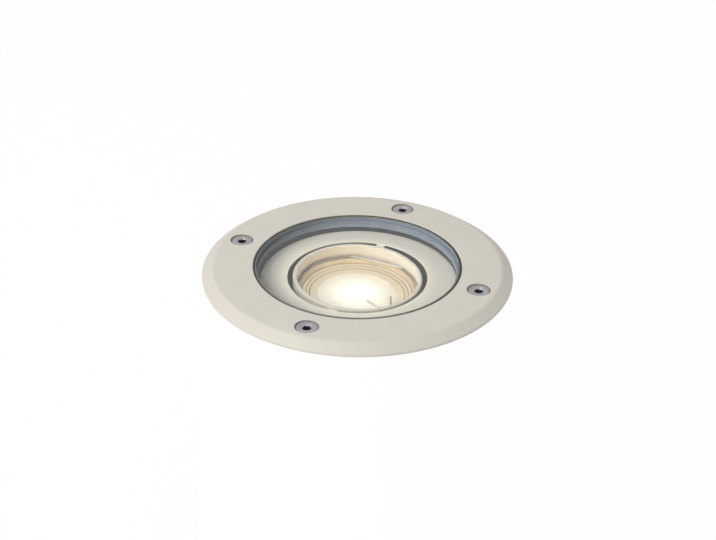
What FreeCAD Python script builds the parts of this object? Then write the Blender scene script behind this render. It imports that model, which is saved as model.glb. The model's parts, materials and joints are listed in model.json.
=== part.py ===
import FreeCAD, Part
import math
import os

# Round in-ground well light with an aimable reflector lamp. Millimetres, +Z up.
# The origin is the centre of the ground sleeve's foot, and the glass faces up.

# ---- overall and trim bezel ----
OVERALL_HEIGHT = 135.0
BEZEL_DIAMETER = 130.0
BEVEL_WIDTH = 4.5
BEVEL_HEIGHT = 3.2
BEZEL_RIM_HEIGHT = 1.0
BEZEL_RIM_WIDTH = 2.5
BEZEL_REBATE = 0.3
BEZEL_OVERHANG = 6.5
SCREW_EDGE_DISTANCE = 5.15
WINDOW_SCREW_DISTANCE = 9.65

# ---- bezel screws: countersunk, hexagon socket ----
SCREW_COUNT = 4
SCREW_FIRST_AZIMUTH = 68.4
SCREW_THREAD_DIAMETER = 5.0
SCREW_LENGTH = 15.0
SCREW_TIP_CHAMFER = 0.6
SCREW_HEAD_DIAMETER = 10.0
SCREW_HEAD_EDGE = 0.4
SCREW_SINK = 0.9
SOCKET_ACROSS_FLATS = 3.4
SOCKET_DEPTH = 1.9
SCREW_HOLE_CLEARANCE = 0.25
THREAD_FIT = 0.04

# ---- glass, its gasket and its carrier ----
GLASS_THICKNESS = 5.0
GLASS_SET_BACK = 0.2
GLASS_EDGE_CHAMFER = 0.4
GASKET_LIP_WIDTH = 0.65
GASKET_LIP_DROP = 0.15
GASKET_BED_THICKNESS = 0.5
GLASS_FIT = 0.05
LEDGE_WIDTH = 2.2
LEDGE_THICKNESS = 2.0
CARRIER_WALL = 3.0
LEDGE_CHAMFER = 0.4
CARRIER_CLEARANCE = 0.3
SEAL_THICKNESS = 1.0
SEAL_INSET = 0.3
FLANGE_GASKET_THICKNESS = 1.0
FLANGE_GASKET_INSET = 0.6

# ---- housing pot ----
POT_BORE_INSET = 0.7
POT_WALL = 3.2
POT_FLOOR_THICKNESS = 4.0
POT_FOOT_CHAMFER = 5.0
FLANGE_THICKNESS = 5.0
BOSS_DIAMETER = 10.0
BOSS_RIB_THICKNESS = 4.0
BOSS_END_THICKNESS = 1.0
TAP_ALLOWANCE = 2.0
BAFFLE_STEP_WIDTH = 1.8
FIN_SPACES_PER_SCREW = 4
FIN_THICKNESS = 2.0
FIN_REACH = 7.5
FIN_HEIGHT = 72.0
FIN_FOOT_SLOPE = 9.0
GLAND_PAD_DIAMETER = 25.0
GLAND_PAD_HEIGHT = 1.5

# ---- cable entry, blanking plug and earth point in the pot's floor ----
GLAND_OFFSET = 15.5
GLAND_THREAD_DIAMETER = 16.0
GLAND_THREAD_CLEARANCE = 0.1
GLAND_BORE_DIAMETER = 10.0
GLAND_WASHER_DIAMETER = 22.0
GLAND_WASHER_THICKNESS = 1.5
GLAND_HEX_ACROSS_FLATS = 20.0
GLAND_HEX_HEIGHT = 4.0
GLAND_NECK_DIAMETER = 15.0
GLAND_NECK_LENGTH = 6.0
GLAND_NUT_HEIGHT = 9.0
GLAND_NUT_DOME = 3.0
CABLE_SEAL_BORE = 7.0
CABLE_SEAL_LENGTH = 5.0
LOCKNUT_ACROSS_FLATS = 22.0
LOCKNUT_HEIGHT = 3.5
THREAD_STAND_OUT = 0.5
PLUG_HEAD_HEIGHT = 4.0
PLUG_HEAD_CHAMFER = 1.0
PLUG_SLOT_WIDTH = 2.5
PLUG_SLOT_DEPTH = 2.0
EARTH_WALL_DISTANCE = 13.2
EARTH_BOSS_DIAMETER = 9.0
EARTH_BOSS_HEIGHT = 1.5
EARTH_SCREW_DIAMETER = 4.0
EARTH_SCREW_LENGTH = 3.5
EARTH_HEAD_DIAMETER = 7.6
EARTH_HEAD_HEIGHT = 2.0
EARTH_HEAD_CHAMFER = 0.6
EARTH_WASHER_DIAMETER = 8.6
EARTH_WASHER_THICKNESS = 0.8
EARTH_SLOT_WIDTH = 1.2

# ---- ground sleeve ----
SLEEVE_GAP = 0.7
SLEEVE_WALL = 2.0
SLEEVE_FOOT_WIDTH = 12.0
SLEEVE_FOOT_THICKNESS = 2.5
CABLE_NOTCH_WIDTH = 22.0
CABLE_NOTCH_HEIGHT = 36.0
DRAIN_SLOTS_PER_SIDE = 5
DRAIN_SLOT_WIDTH = 5.0
DRAIN_SLOT_HEIGHT = 22.0
DRAIN_SLOT_LEVEL = 12.0
DRAIN_SLOT_PITCH = 20.0

# ---- baffle ring, which turns in the pot ----
BAFFLE_CLEARANCE = 0.4
BAFFLE_SHEET = 1.2
GLASS_BAFFLE_GAP = 3.7
BAFFLE_RISE = 1.5
BAFFLE_SKIRT = 6.0
BAFFLE_EDGE_CHAMFER = 0.8
BAFFLE_LIP_CHAMFER = 0.4

# ---- lamp ring, its pivots and its spring clip ----
PIVOT_AZIMUTH = 70.0
PIVOT_DROP = 4.5
REST_TILT = 1.8
RING_GAP = 2.15
RING_WALL = 1.7
RING_LAMP_CLEARANCE = 0.55
RING_RISE = 0.1
RING_HEIGHT = 10.0
RING_EDGE_CHAMFER = 0.4
RING_SEAT_WIDTH = 1.9
RING_SEAT_THICKNESS = 1.3
EAR_GAP = 0.6
EAR_THICKNESS = 1.0
EAR_WIDTH = 5.0
EAR_SINK = 0.3
EAR_BELOW_PIVOT = 2.6
PIN_DIAMETER = 2.4
PIN_HEAD_DIAMETER = 4.2
PIN_HEAD_HEIGHT = 0.7
PIN_RUNNING_FIT = 0.05
PIN_RING_FIT = 0.02
PIVOT_WASHER_DIAMETER = 4.6
CLIP_WIRE_DIAMETER = 0.9
CLIP_CORNER_RADIUS = 3.2
CLIP_CORNER_AZIMUTHS = (-49.0, 10.0, 38.0, 98.0, 137.0, 182.0, 226.0, 262.0, 299.0)
CLIP_TAIL_BEND_RADIUS = 1.6
CLIP_FIRST_TAIL = (-1.2, 8.6, 3.4)
CLIP_LAST_TAIL = (-8.4, 7.0, 3.2)

# ---- reflector lamp ----
LAMP_DIAMETER = 50.0
LAMP_RIM_HEIGHT = 3.4
LAMP_RIM_LIP = 1.7
LAMP_RIM_CHAMFER = 0.5
LAMP_SEAT_CLEARANCE = 0.3
LENS_RECESS = 0.9
LENS_THICKNESS = 1.6
LENS_FIT = 0.1
LENS_STEP = 0.5
LENS_BORDER_WIDTH = 2.2
LENS_SHELF_WIDTH = 3.5
LENS_GROOVE_WIDTH = 0.8
REFLECTOR_WALL = 1.4
REFLECTOR_LENGTH = 27.8
REFLECTOR_NECK_DIAMETER = 23.0
REFLECTOR_STEPS = 3
LAMP_LENGTH = 46.5
CAPSULE_DIAMETER = 9.0
CAPSULE_LENGTH = 17.0
CAPSULE_TIP_CHAMFER = 2.6
LAMP_COLLAR_STEP = 1.0
LAMP_COLLAR_HEIGHT = 5.0
LAMP_COLLAR_CHAMFER = 0.8
LAMP_PIN_PITCH = 10.0
LAMP_PIN_DIAMETER = 3.0
LAMP_PIN_HEAD_DIAMETER = 5.0
LAMP_PIN_NECK = 3.6
LAMP_PIN_HEAD_HEIGHT = 3.2

# ---- lamp holder, leads and terminal block ----
HOLDER_GAP = 0.2
HOLDER_DIAMETER = 26.6
HOLDER_BODY_HEIGHT = 15.5
HOLDER_COVER_HEIGHT = 6.0
HOLDER_EDGE_CHAMFER = 1.0
HOLDER_SLOT_WIDTH = 5.8
HOLDER_SLOT_SWEEP = 56.0
HOLDER_SLOT_DEPTH = 8.0
CONTACT_WIDTH = 3.6
CONTACT_THICKNESS = 0.7
CONTACT_POST_DIAMETER = 2.2
HOLDER_SCREW_OFFSET = 9.2
HOLDER_SCREW_DIAMETER = 3.0
HOLDER_SCREW_HEAD = 5.2
HOLDER_SCREW_HEAD_HEIGHT = 1.6
HOLDER_SCREW_BITE = 5.0
LEAD_DIAMETER = 2.6
LEAD_PITCH = 9.0
LEAD_SOCKET_DEPTH = 1.0
LEAD_DROP = 7.2
LEAD_DROP_STEP = 1.2
LEAD_BEND_RADIUS = 5.5
LEAD_FLOOR_CLEARANCE = 9.0
BLOCK_GAP = 2.1
BLOCK_WIDTH = 20.0
BLOCK_THICKNESS = 12.0
BLOCK_HEIGHT = 16.0
BLOCK_LIFT = 4.0
BLOCK_EDGE_RADIUS = 1.2
INSERT_DIAMETER = 4.8
INSERT_BORE = 1.8
INSERT_LENGTH = 12.0
BLOCK_SCREW_DIAMETER = 2.6
BLOCK_SCREW_WELL = 3.4
BLOCK_SCREW_SPACING = 6.0
BLOCK_SCREW_SLOT = 0.7
BLOCK_SCREW_INSET = 1.2

# ---- shared ----
PART_FIT = 0.05
ROOT_OVERLAP = 1.0
CUT_MARGIN = 1.0

# ---- levels and radii worked out from the sizes above ----
TOP_Z = OVERALL_HEIGHT
BEZEL_THICKNESS = BEVEL_HEIGHT + BEZEL_RIM_HEIGHT
GROUND_Z = TOP_Z - BEZEL_THICKNESS
SEAT_Z = GROUND_Z + BEZEL_REBATE
FLANGE_RADIUS = BEZEL_DIAMETER / 2 - BEZEL_OVERHANG
SCREW_CIRCLE_RADIUS = FLANGE_RADIUS - SCREW_EDGE_DISTANCE
SCREW_AZIMUTHS = [SCREW_FIRST_AZIMUTH + 360.0 * n / SCREW_COUNT for n in range(SCREW_COUNT)]
SCREW_HEAD_TOP_Z = TOP_Z - SCREW_SINK
SCREW_TIP_Z = SCREW_HEAD_TOP_Z - SCREW_LENGTH
TAPPED_BOTTOM_Z = SCREW_TIP_Z - TAP_ALLOWANCE
WINDOW_RADIUS = SCREW_CIRCLE_RADIUS - WINDOW_SCREW_DISTANCE
GLASS_RADIUS = WINDOW_RADIUS - GASKET_LIP_WIDTH - GLASS_FIT
GLASS_TOP_Z = TOP_Z - GLASS_SET_BACK
GLASS_BOTTOM_Z = GLASS_TOP_Z - GLASS_THICKNESS
LEDGE_Z = GLASS_BOTTOM_Z - GASKET_BED_THICKNESS
CARRIER_BOTTOM_Z = LEDGE_Z - LEDGE_THICKNESS
CARRIER_RADIUS = WINDOW_RADIUS + CARRIER_WALL
MOUTH_RADIUS = CARRIER_RADIUS + CARRIER_CLEARANCE
MOUTH_Z = CARRIER_BOTTOM_Z - SEAL_THICKNESS
FLANGE_TOP_Z = SEAT_Z - FLANGE_GASKET_THICKNESS
FLANGE_BOTTOM_Z = FLANGE_TOP_Z - FLANGE_THICKNESS
POT_BORE_RADIUS = WINDOW_RADIUS - POT_BORE_INSET
POT_RADIUS = POT_BORE_RADIUS + POT_WALL
STEP_RADIUS = POT_BORE_RADIUS - BAFFLE_STEP_WIDTH
LAMP_RADIUS = LAMP_DIAMETER / 2
RING_BORE_RADIUS = LAMP_RADIUS + RING_LAMP_CLEARANCE
RING_RADIUS = RING_BORE_RADIUS + RING_WALL
BAFFLE_TOP_Z = GLASS_BOTTOM_Z - GLASS_BAFFLE_GAP
BAFFLE_EDGE_Z = BAFFLE_TOP_Z - BAFFLE_RISE
BAFFLE_BOTTOM_Z = BAFFLE_EDGE_Z - BAFFLE_SKIRT
BAFFLE_RADIUS = POT_BORE_RADIUS - BAFFLE_CLEARANCE
BAFFLE_HOLE_RADIUS = RING_RADIUS + RING_GAP
PIVOT_Z = BAFFLE_TOP_Z - PIVOT_DROP
PIVOT_ANGLE = math.radians(PIVOT_AZIMUTH)
PIVOT_AXIS = FreeCAD.Vector(math.cos(PIVOT_ANGLE), math.sin(PIVOT_ANGLE), 0)
RING_TOP_Z = BAFFLE_TOP_Z + RING_RISE
RING_BOTTOM_Z = RING_TOP_Z - RING_HEIGHT
LAMP_SEAT_Z = RING_BOTTOM_Z + RING_SEAT_THICKNESS
LAMP_TOP_Z = LAMP_SEAT_Z + LAMP_RIM_HEIGHT
LENS_RADIUS = LAMP_RADIUS - LAMP_RIM_LIP - LENS_FIT
LENS_TOP_Z = LAMP_TOP_Z - LENS_RECESS
LENS_BOTTOM_Z = LENS_TOP_Z - LENS_THICKNESS
LAMP_SHOULDER_RADIUS = RING_BORE_RADIUS - RING_SEAT_WIDTH - LAMP_SEAT_CLEARANCE
NECK_RADIUS = REFLECTOR_NECK_DIAMETER / 2
NECK_Z = LAMP_SEAT_Z - REFLECTOR_LENGTH
LAMP_END_Z = LAMP_TOP_Z - LAMP_LENGTH
LAMP_PIN_END_Z = LAMP_END_Z - LAMP_PIN_NECK - LAMP_PIN_HEAD_HEIGHT
HOLDER_TOP_Z = LAMP_END_Z - HOLDER_GAP
HOLDER_JOINT_Z = HOLDER_TOP_Z - HOLDER_BODY_HEIGHT
HOLDER_BOTTOM_Z = HOLDER_JOINT_Z - HOLDER_COVER_HEIGHT
BLOCK_OFFSET = HOLDER_DIAMETER / 2 + BLOCK_GAP + BLOCK_THICKNESS / 2
BLOCK_BOTTOM_Z = HOLDER_BOTTOM_Z + BLOCK_LIFT
LEAD_LOWEST_Z = HOLDER_BOTTOM_Z - LEAD_DROP - LEAD_DROP_STEP - LEAD_DIAMETER / 2
POT_FLOOR_Z = LEAD_LOWEST_Z - LEAD_FLOOR_CLEARANCE
POT_BOTTOM_Z = POT_FLOOR_Z - POT_FLOOR_THICKNESS
GLAND_FACE_Z = POT_BOTTOM_Z - GLAND_PAD_HEIGHT
EARTH_OFFSET = STEP_RADIUS - EARTH_WALL_DISTANCE
SLEEVE_BORE_RADIUS = FLANGE_RADIUS + SLEEVE_GAP
SLEEVE_RADIUS = SLEEVE_BORE_RADIUS + SLEEVE_WALL
UP = FreeCAD.Vector(0, 0, 1)
ALONG_X = FreeCAD.Vector(1, 0, 0)
ORIGIN = FreeCAD.Vector(0, 0, 0)


# ---- small shape helpers ----
def at_azimuth(shape, azimuth):
    """A copy of a shape built along +X, turned about the light's axis."""
    turned = shape.copy()
    turned.rotate(ORIGIN, UP, azimuth)
    return turned


def disc(radius, low, high, x=0.0, y=0.0):
    return Part.makeCylinder(radius, high - low, FreeCAD.Vector(x, y, low))


def ring(inner, outer, low, high, x=0.0, y=0.0):
    return disc(outer, low, high, x, y).cut(disc(inner, low, high, x, y))


def block(x_low, x_high, width, low, high):
    """A box centred on the X axis."""
    return Part.makeBox(x_high - x_low, width, high - low, FreeCAD.Vector(x_low, -width / 2, low))


def hex_prism(across_flats, low, high, x=0.0, y=0.0):
    corner = across_flats / math.sqrt(3)
    points = []
    for step in range(7):
        angle = math.radians(60 * step)
        points.append(FreeCAD.Vector(x + corner * math.cos(angle), y + corner * math.sin(angle), low))
    return Part.Face(Part.makePolygon(points)).extrude(FreeCAD.Vector(0, 0, high - low))


def turned_profile(corners):
    """A solid of revolution. Each corner is (radius, level) or (radius, level, chamfer)."""
    points = [FreeCAD.Vector(corner[0], 0, corner[1]) for corner in corners]
    outline = []
    for index, point in enumerate(points):
        if len(corners[index]) == 2:
            outline.append(point)
            continue
        chamfer = corners[index][2]
        following = points[(index + 1) % len(points)]
        outline.append(point + (points[index - 1] - point).normalize() * chamfer)
        outline.append(point + (following - point).normalize() * chamfer)
    face = Part.Face(Part.makePolygon(outline + outline[:1]))
    return face.revolve(ORIGIN, UP, 360)


def swept_wire(points, radii, thickness):
    """A round wire or lead along straight runs and tangent arcs. The two ends have no radius."""
    edges = []
    start = points[0]
    for index in range(1, len(points) - 1):
        point = points[index]
        back = (points[index - 1] - point).normalize()
        ahead = (points[index + 1] - point).normalize()
        half = back.getAngle(ahead) / 2
        reach = radii[index - 1] / math.tan(half)
        inward = (back + ahead).normalize()
        middle = point + inward * (radii[index - 1] / math.sin(half) - radii[index - 1])
        edges.append(Part.LineSegment(start, point + back * reach).toShape())
        edges.append(Part.Arc(point + back * reach, middle, point + ahead * reach).toShape())
        start = point + ahead * reach
    edges.append(Part.LineSegment(start, points[-1]).toShape())
    section = Part.Wire(Part.makeCircle(thickness / 2, points[0], points[1] - points[0]))
    return Part.Wire(edges).makePipeShell([section], True, False)


def tilted(shape):
    """A piece of the lamp carrier, leaned about the pivots to the lamp's resting aim."""
    leaned = shape.copy()
    leaned.rotate(FreeCAD.Vector(0, 0, PIVOT_Z), PIVOT_AXIS, REST_TILT)
    return leaned


def save(name, shape):
    shape.exportStep("parts/" + name + ".step")


def save_group(name, solids):
    save(name, Part.makeCompound(solids))


# ---- trim, glass and seals ----
def screw_hole_cutter():
    """The countersink and clearance hole of one bezel screw, along the light's axis."""
    cone_start_z = SCREW_HEAD_TOP_Z - SCREW_HEAD_EDGE
    head_radius = SCREW_HEAD_DIAMETER / 2
    hole_radius = SCREW_THREAD_DIAMETER / 2 + SCREW_HOLE_CLEARANCE
    above = TOP_Z + CUT_MARGIN
    return turned_profile([
        (0, GROUND_Z - CUT_MARGIN),
        (hole_radius, GROUND_Z - CUT_MARGIN),
        (hole_radius, cone_start_z - head_radius + hole_radius),
        (head_radius + above - cone_start_z, above),
        (0, above),
    ])


def make_trim_bezel():
    """The ring that shows. Its outer rim rests on the paving, and the rebate inside it on the sleeve."""
    radius = BEZEL_DIAMETER / 2
    bezel = turned_profile([
        (WINDOW_RADIUS, SEAT_Z),
        (radius - BEZEL_RIM_WIDTH, SEAT_Z),
        (radius - BEZEL_RIM_WIDTH, GROUND_Z),
        (radius, GROUND_Z),
        (radius, GROUND_Z + BEZEL_RIM_HEIGHT),
        (radius - BEVEL_WIDTH, TOP_Z),
        (WINDOW_RADIUS, TOP_Z),
    ])
    cutter = screw_hole_cutter()
    for azimuth in SCREW_AZIMUTHS:
        angle = math.radians(azimuth)
        hole = cutter.copy()
        hole.translate(FreeCAD.Vector(math.cos(angle), math.sin(angle), 0) * SCREW_CIRCLE_RADIUS)
        bezel = bezel.cut(hole)
    return bezel


def make_bezel_screw():
    """One countersunk screw on the light's axis."""
    head_radius = SCREW_HEAD_DIAMETER / 2
    shank_radius = SCREW_THREAD_DIAMETER / 2
    cone_start_z = SCREW_HEAD_TOP_Z - SCREW_HEAD_EDGE
    screw = turned_profile([
        (0, SCREW_TIP_Z),
        (shank_radius, SCREW_TIP_Z, SCREW_TIP_CHAMFER),
        (shank_radius, cone_start_z - head_radius + shank_radius),
        (head_radius, cone_start_z),
        (head_radius, SCREW_HEAD_TOP_Z, SCREW_HEAD_EDGE / 2),
        (0, SCREW_HEAD_TOP_Z),
    ])
    socket = hex_prism(SOCKET_ACROSS_FLATS, SCREW_HEAD_TOP_Z - SOCKET_DEPTH, SCREW_HEAD_TOP_Z + CUT_MARGIN)
    return screw.cut(socket)


def make_bezel_screws():
    screw = make_bezel_screw()
    screw.translate(FreeCAD.Vector(SCREW_CIRCLE_RADIUS, 0, 0))
    return [at_azimuth(screw, azimuth) for azimuth in SCREW_AZIMUTHS]


def make_glass_pane():
    return turned_profile([
        (0, GLASS_BOTTOM_Z),
        (GLASS_RADIUS - GLASS_EDGE_CHAMFER, GLASS_BOTTOM_Z),
        (GLASS_RADIUS, GLASS_BOTTOM_Z + GLASS_EDGE_CHAMFER),
        (GLASS_RADIUS, GLASS_TOP_Z - GLASS_EDGE_CHAMFER),
        (GLASS_RADIUS - GLASS_EDGE_CHAMFER, GLASS_TOP_Z),
        (0, GLASS_TOP_Z),
    ])


def make_glass_gasket():
    """An L section: a lip round the glass and a bed under its edge."""
    outer = WINDOW_RADIUS - GLASS_FIT
    inner = outer - GASKET_LIP_WIDTH + GLASS_FIT
    return turned_profile([
        (WINDOW_RADIUS - LEDGE_WIDTH, LEDGE_Z),
        (outer, LEDGE_Z),
        (outer, GLASS_TOP_Z - GASKET_LIP_DROP),
        (inner, GLASS_TOP_Z - GASKET_LIP_DROP),
        (inner, GLASS_BOTTOM_Z),
        (WINDOW_RADIUS - LEDGE_WIDTH, GLASS_BOTTOM_Z),
    ])


def make_glass_carrier():
    """The bare metal ring under the bezel, whose ledge holds the glass from below."""
    ledge_radius = WINDOW_RADIUS - LEDGE_WIDTH
    return turned_profile([
        (ledge_radius, CARRIER_BOTTOM_Z),
        (CARRIER_RADIUS, CARRIER_BOTTOM_Z),
        (CARRIER_RADIUS, SEAT_Z),
        (WINDOW_RADIUS, SEAT_Z),
        (WINDOW_RADIUS, LEDGE_Z),
        (ledge_radius, LEDGE_Z, LEDGE_CHAMFER),
    ])


def make_carrier_seal():
    return ring(POT_BORE_RADIUS + SEAL_INSET, MOUTH_RADIUS - SEAL_INSET, MOUTH_Z, CARRIER_BOTTOM_Z)


def make_flange_gasket():
    inner = MOUTH_RADIUS + FLANGE_GASKET_INSET
    outer = FLANGE_RADIUS - FLANGE_GASKET_INSET
    gasket = ring(inner, outer, FLANGE_TOP_Z, SEAT_Z)
    hole_radius = SCREW_THREAD_DIAMETER / 2 + SCREW_HOLE_CLEARANCE
    hole = disc(hole_radius, FLANGE_TOP_Z, SEAT_Z, SCREW_CIRCLE_RADIUS)
    for azimuth in SCREW_AZIMUTHS:
        gasket = gasket.cut(at_azimuth(hole, azimuth))
    return gasket


# ---- housing pot and what is fastened in its floor ----
def pot_fin():
    """One cooling fin under the flange, built along +X, with a sloped foot."""
    tip = POT_RADIUS + FIN_REACH
    root = POT_RADIUS - ROOT_OVERLAP
    bottom = FLANGE_BOTTOM_Z - FIN_HEIGHT
    outline = [
        FreeCAD.Vector(root, -FIN_THICKNESS / 2, FLANGE_BOTTOM_Z + ROOT_OVERLAP),
        FreeCAD.Vector(tip, -FIN_THICKNESS / 2, FLANGE_BOTTOM_Z + ROOT_OVERLAP),
        FreeCAD.Vector(tip, -FIN_THICKNESS / 2, bottom + FIN_FOOT_SLOPE),
        FreeCAD.Vector(root, -FIN_THICKNESS / 2, bottom),
    ]
    face = Part.Face(Part.makePolygon(outline + outline[:1]))
    return face.extrude(FreeCAD.Vector(0, FIN_THICKNESS, 0))


def pot_boss():
    """One tapped screw boss under the flange with its rib to the wall, built along +X."""
    bottom = TAPPED_BOTTOM_Z - BOSS_END_THICKNESS
    top = FLANGE_BOTTOM_Z + ROOT_OVERLAP
    boss = disc(BOSS_DIAMETER / 2, bottom, top, SCREW_CIRCLE_RADIUS)
    rib = block(POT_RADIUS - ROOT_OVERLAP, SCREW_CIRCLE_RADIUS, BOSS_RIB_THICKNESS, bottom, top)
    return boss.fuse(rib)


def make_housing_pot():
    pot = turned_profile([
        (0, POT_BOTTOM_Z),
        (POT_RADIUS, POT_BOTTOM_Z, POT_FOOT_CHAMFER),
        (POT_RADIUS, FLANGE_BOTTOM_Z),
        (FLANGE_RADIUS, FLANGE_BOTTOM_Z),
        (FLANGE_RADIUS, FLANGE_TOP_Z),
        (MOUTH_RADIUS, FLANGE_TOP_Z),
        (MOUTH_RADIUS, MOUTH_Z),
        (POT_BORE_RADIUS, MOUTH_Z),
        (POT_BORE_RADIUS, BAFFLE_BOTTOM_Z),
        (STEP_RADIUS, BAFFLE_BOTTOM_Z),
        (STEP_RADIUS, POT_FLOOR_Z, POT_FLOOR_THICKNESS),
        (0, POT_FLOOR_Z),
    ])
    additions = [at_azimuth(pot_boss(), azimuth) for azimuth in SCREW_AZIMUTHS]
    positions = SCREW_COUNT * FIN_SPACES_PER_SCREW
    for position in range(positions):
        if position % FIN_SPACES_PER_SCREW:
            additions.append(at_azimuth(pot_fin(), SCREW_FIRST_AZIMUTH + 360.0 * position / positions))
    for side in (1, -1):
        additions.append(disc(GLAND_PAD_DIAMETER / 2, GLAND_FACE_Z, POT_FLOOR_Z, side * GLAND_OFFSET))
    earth_face_z = POT_FLOOR_Z + EARTH_BOSS_HEIGHT
    earth_root_z = POT_FLOOR_Z - ROOT_OVERLAP
    additions.append(disc(EARTH_BOSS_DIAMETER / 2, earth_root_z, earth_face_z, 0, -EARTH_OFFSET))
    pot = pot.multiFuse(additions)
    tapped_radius = SCREW_THREAD_DIAMETER / 2 + THREAD_FIT
    screw_hole = disc(tapped_radius, TAPPED_BOTTOM_Z, FLANGE_TOP_Z, SCREW_CIRCLE_RADIUS)
    holes = [at_azimuth(screw_hole, azimuth) for azimuth in SCREW_AZIMUTHS]
    for side in (1, -1):
        holes.append(disc(GLAND_THREAD_DIAMETER / 2 + GLAND_THREAD_CLEARANCE, GLAND_FACE_Z, POT_FLOOR_Z,
                          side * GLAND_OFFSET))
    holes.append(disc(EARTH_SCREW_DIAMETER / 2 + THREAD_FIT, earth_face_z - EARTH_SCREW_LENGTH, earth_face_z,
                      0, -EARTH_OFFSET))
    for hole in holes:
        pot = pot.cut(hole)
    return pot.removeSplitter()


def make_gland_washers():
    inner = GLAND_THREAD_DIAMETER / 2 + GLAND_THREAD_CLEARANCE
    outer = GLAND_WASHER_DIAMETER / 2
    low = GLAND_FACE_Z - GLAND_WASHER_THICKNESS
    return [ring(inner, outer, low, GLAND_FACE_Z, side * GLAND_OFFSET) for side in (1, -1)]


def make_gland_locknuts():
    nuts = []
    for side in (1, -1):
        nut = hex_prism(LOCKNUT_ACROSS_FLATS, POT_FLOOR_Z, POT_FLOOR_Z + LOCKNUT_HEIGHT, side * GLAND_OFFSET)
        bore = disc(GLAND_THREAD_DIAMETER / 2 + THREAD_FIT, POT_FLOOR_Z, POT_FLOOR_Z + LOCKNUT_HEIGHT,
                    side * GLAND_OFFSET)
        nuts.append(nut.cut(bore))
    return nuts


def gland_levels():
    """Underside of the washer, of the gland's hexagon and of its neck."""
    washer = GLAND_FACE_Z - GLAND_WASHER_THICKNESS
    hexagon = washer - GLAND_HEX_HEIGHT
    return washer, hexagon, hexagon - GLAND_NECK_LENGTH


def make_cable_gland_body():
    washer_z, hex_z, neck_z = gland_levels()
    thread_top = POT_FLOOR_Z + LOCKNUT_HEIGHT + THREAD_STAND_OUT
    thread = disc(GLAND_THREAD_DIAMETER / 2, washer_z, thread_top, GLAND_OFFSET)
    collar = hex_prism(GLAND_HEX_ACROSS_FLATS, hex_z, washer_z, GLAND_OFFSET)
    neck = disc(GLAND_NECK_DIAMETER / 2, neck_z, hex_z, GLAND_OFFSET)
    bore = disc(GLAND_BORE_DIAMETER / 2, neck_z, thread_top, GLAND_OFFSET)
    return thread.multiFuse([collar, neck]).cut(bore).removeSplitter()


def make_cable_gland_seal():
    neck_z = gland_levels()[2]
    outer = GLAND_BORE_DIAMETER / 2 - PART_FIT
    return ring(CABLE_SEAL_BORE / 2, outer, neck_z, neck_z + CABLE_SEAL_LENGTH, GLAND_OFFSET)


def make_cable_gland_nut():
    """A domed hexagon nut that screws over the neck and presses on the seal."""
    hex_z, neck_z = gland_levels()[1:]
    top = hex_z - THREAD_STAND_OUT
    bottom = top - GLAND_NUT_HEIGHT
    corner = GLAND_HEX_ACROSS_FLATS / math.sqrt(3)
    hexagon = hex_prism(GLAND_HEX_ACROSS_FLATS, bottom, top, GLAND_OFFSET)
    dome = turned_profile([
        (0, bottom),
        (corner - GLAND_NUT_DOME, bottom),
        (corner, bottom + GLAND_NUT_DOME),
        (corner, top),
        (0, top),
    ])
    dome.translate(FreeCAD.Vector(GLAND_OFFSET, 0, 0))
    nut = hexagon.common(dome)
    nut = nut.cut(disc(GLAND_NECK_DIAMETER / 2 + PART_FIT, neck_z, top, GLAND_OFFSET))
    return nut.cut(disc(GLAND_BORE_DIAMETER / 2 - PART_FIT, bottom, top, GLAND_OFFSET))


def make_blanking_plug():
    washer_z = gland_levels()[0]
    head_z = washer_z - PLUG_HEAD_HEIGHT
    thread_top = POT_FLOOR_Z + LOCKNUT_HEIGHT + THREAD_STAND_OUT
    head = turned_profile([
        (0, head_z),
        (GLAND_WASHER_DIAMETER / 2, head_z, PLUG_HEAD_CHAMFER),
        (GLAND_WASHER_DIAMETER / 2, washer_z),
        (0, washer_z),
    ])
    slot_top = head_z + PLUG_SLOT_DEPTH
    slot = block(-GLAND_WASHER_DIAMETER, GLAND_WASHER_DIAMETER, PLUG_SLOT_WIDTH, head_z, slot_top)
    head = head.cut(slot)
    plug = head.fuse(disc(GLAND_THREAD_DIAMETER / 2, washer_z, thread_top))
    plug.translate(FreeCAD.Vector(-GLAND_OFFSET, 0, 0))
    return plug.removeSplitter()


def make_earth_washer():
    face = POT_FLOOR_Z + EARTH_BOSS_HEIGHT
    inner = EARTH_SCREW_DIAMETER / 2 + SCREW_HOLE_CLEARANCE
    return ring(inner, EARTH_WASHER_DIAMETER / 2, face, face + EARTH_WASHER_THICKNESS, 0, -EARTH_OFFSET)


def make_earth_screw():
    seat = POT_FLOOR_Z + EARTH_BOSS_HEIGHT + EARTH_WASHER_THICKNESS
    tip = seat - EARTH_WASHER_THICKNESS - EARTH_SCREW_LENGTH
    head = turned_profile([
        (0, seat),
        (EARTH_HEAD_DIAMETER / 2, seat),
        (EARTH_HEAD_DIAMETER / 2, seat + EARTH_HEAD_HEIGHT, EARTH_HEAD_CHAMFER),
        (0, seat + EARTH_HEAD_HEIGHT),
    ])
    slot = block(-EARTH_HEAD_DIAMETER, EARTH_HEAD_DIAMETER, EARTH_SLOT_WIDTH, seat + EARTH_HEAD_HEIGHT / 2,
                 seat + EARTH_HEAD_HEIGHT)
    screw = head.cut(slot).fuse(disc(EARTH_SCREW_DIAMETER / 2, tip, seat))
    screw.translate(FreeCAD.Vector(0, -EARTH_OFFSET, 0))
    return screw.removeSplitter()


# ---- ground sleeve ----
def arched_cutter(width, low, high):
    """A radial slot through the sleeve's wall with a round top, built along +X."""
    inside = SLEEVE_BORE_RADIUS - SLEEVE_FOOT_WIDTH - CUT_MARGIN
    outside = SLEEVE_RADIUS + CUT_MARGIN
    straight = block(inside, outside, width, low, high - width / 2)
    arch = Part.makeCylinder(width / 2, outside - inside, FreeCAD.Vector(inside, 0, high - width / 2),
                             ALONG_X)
    return straight.fuse(arch)


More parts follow.
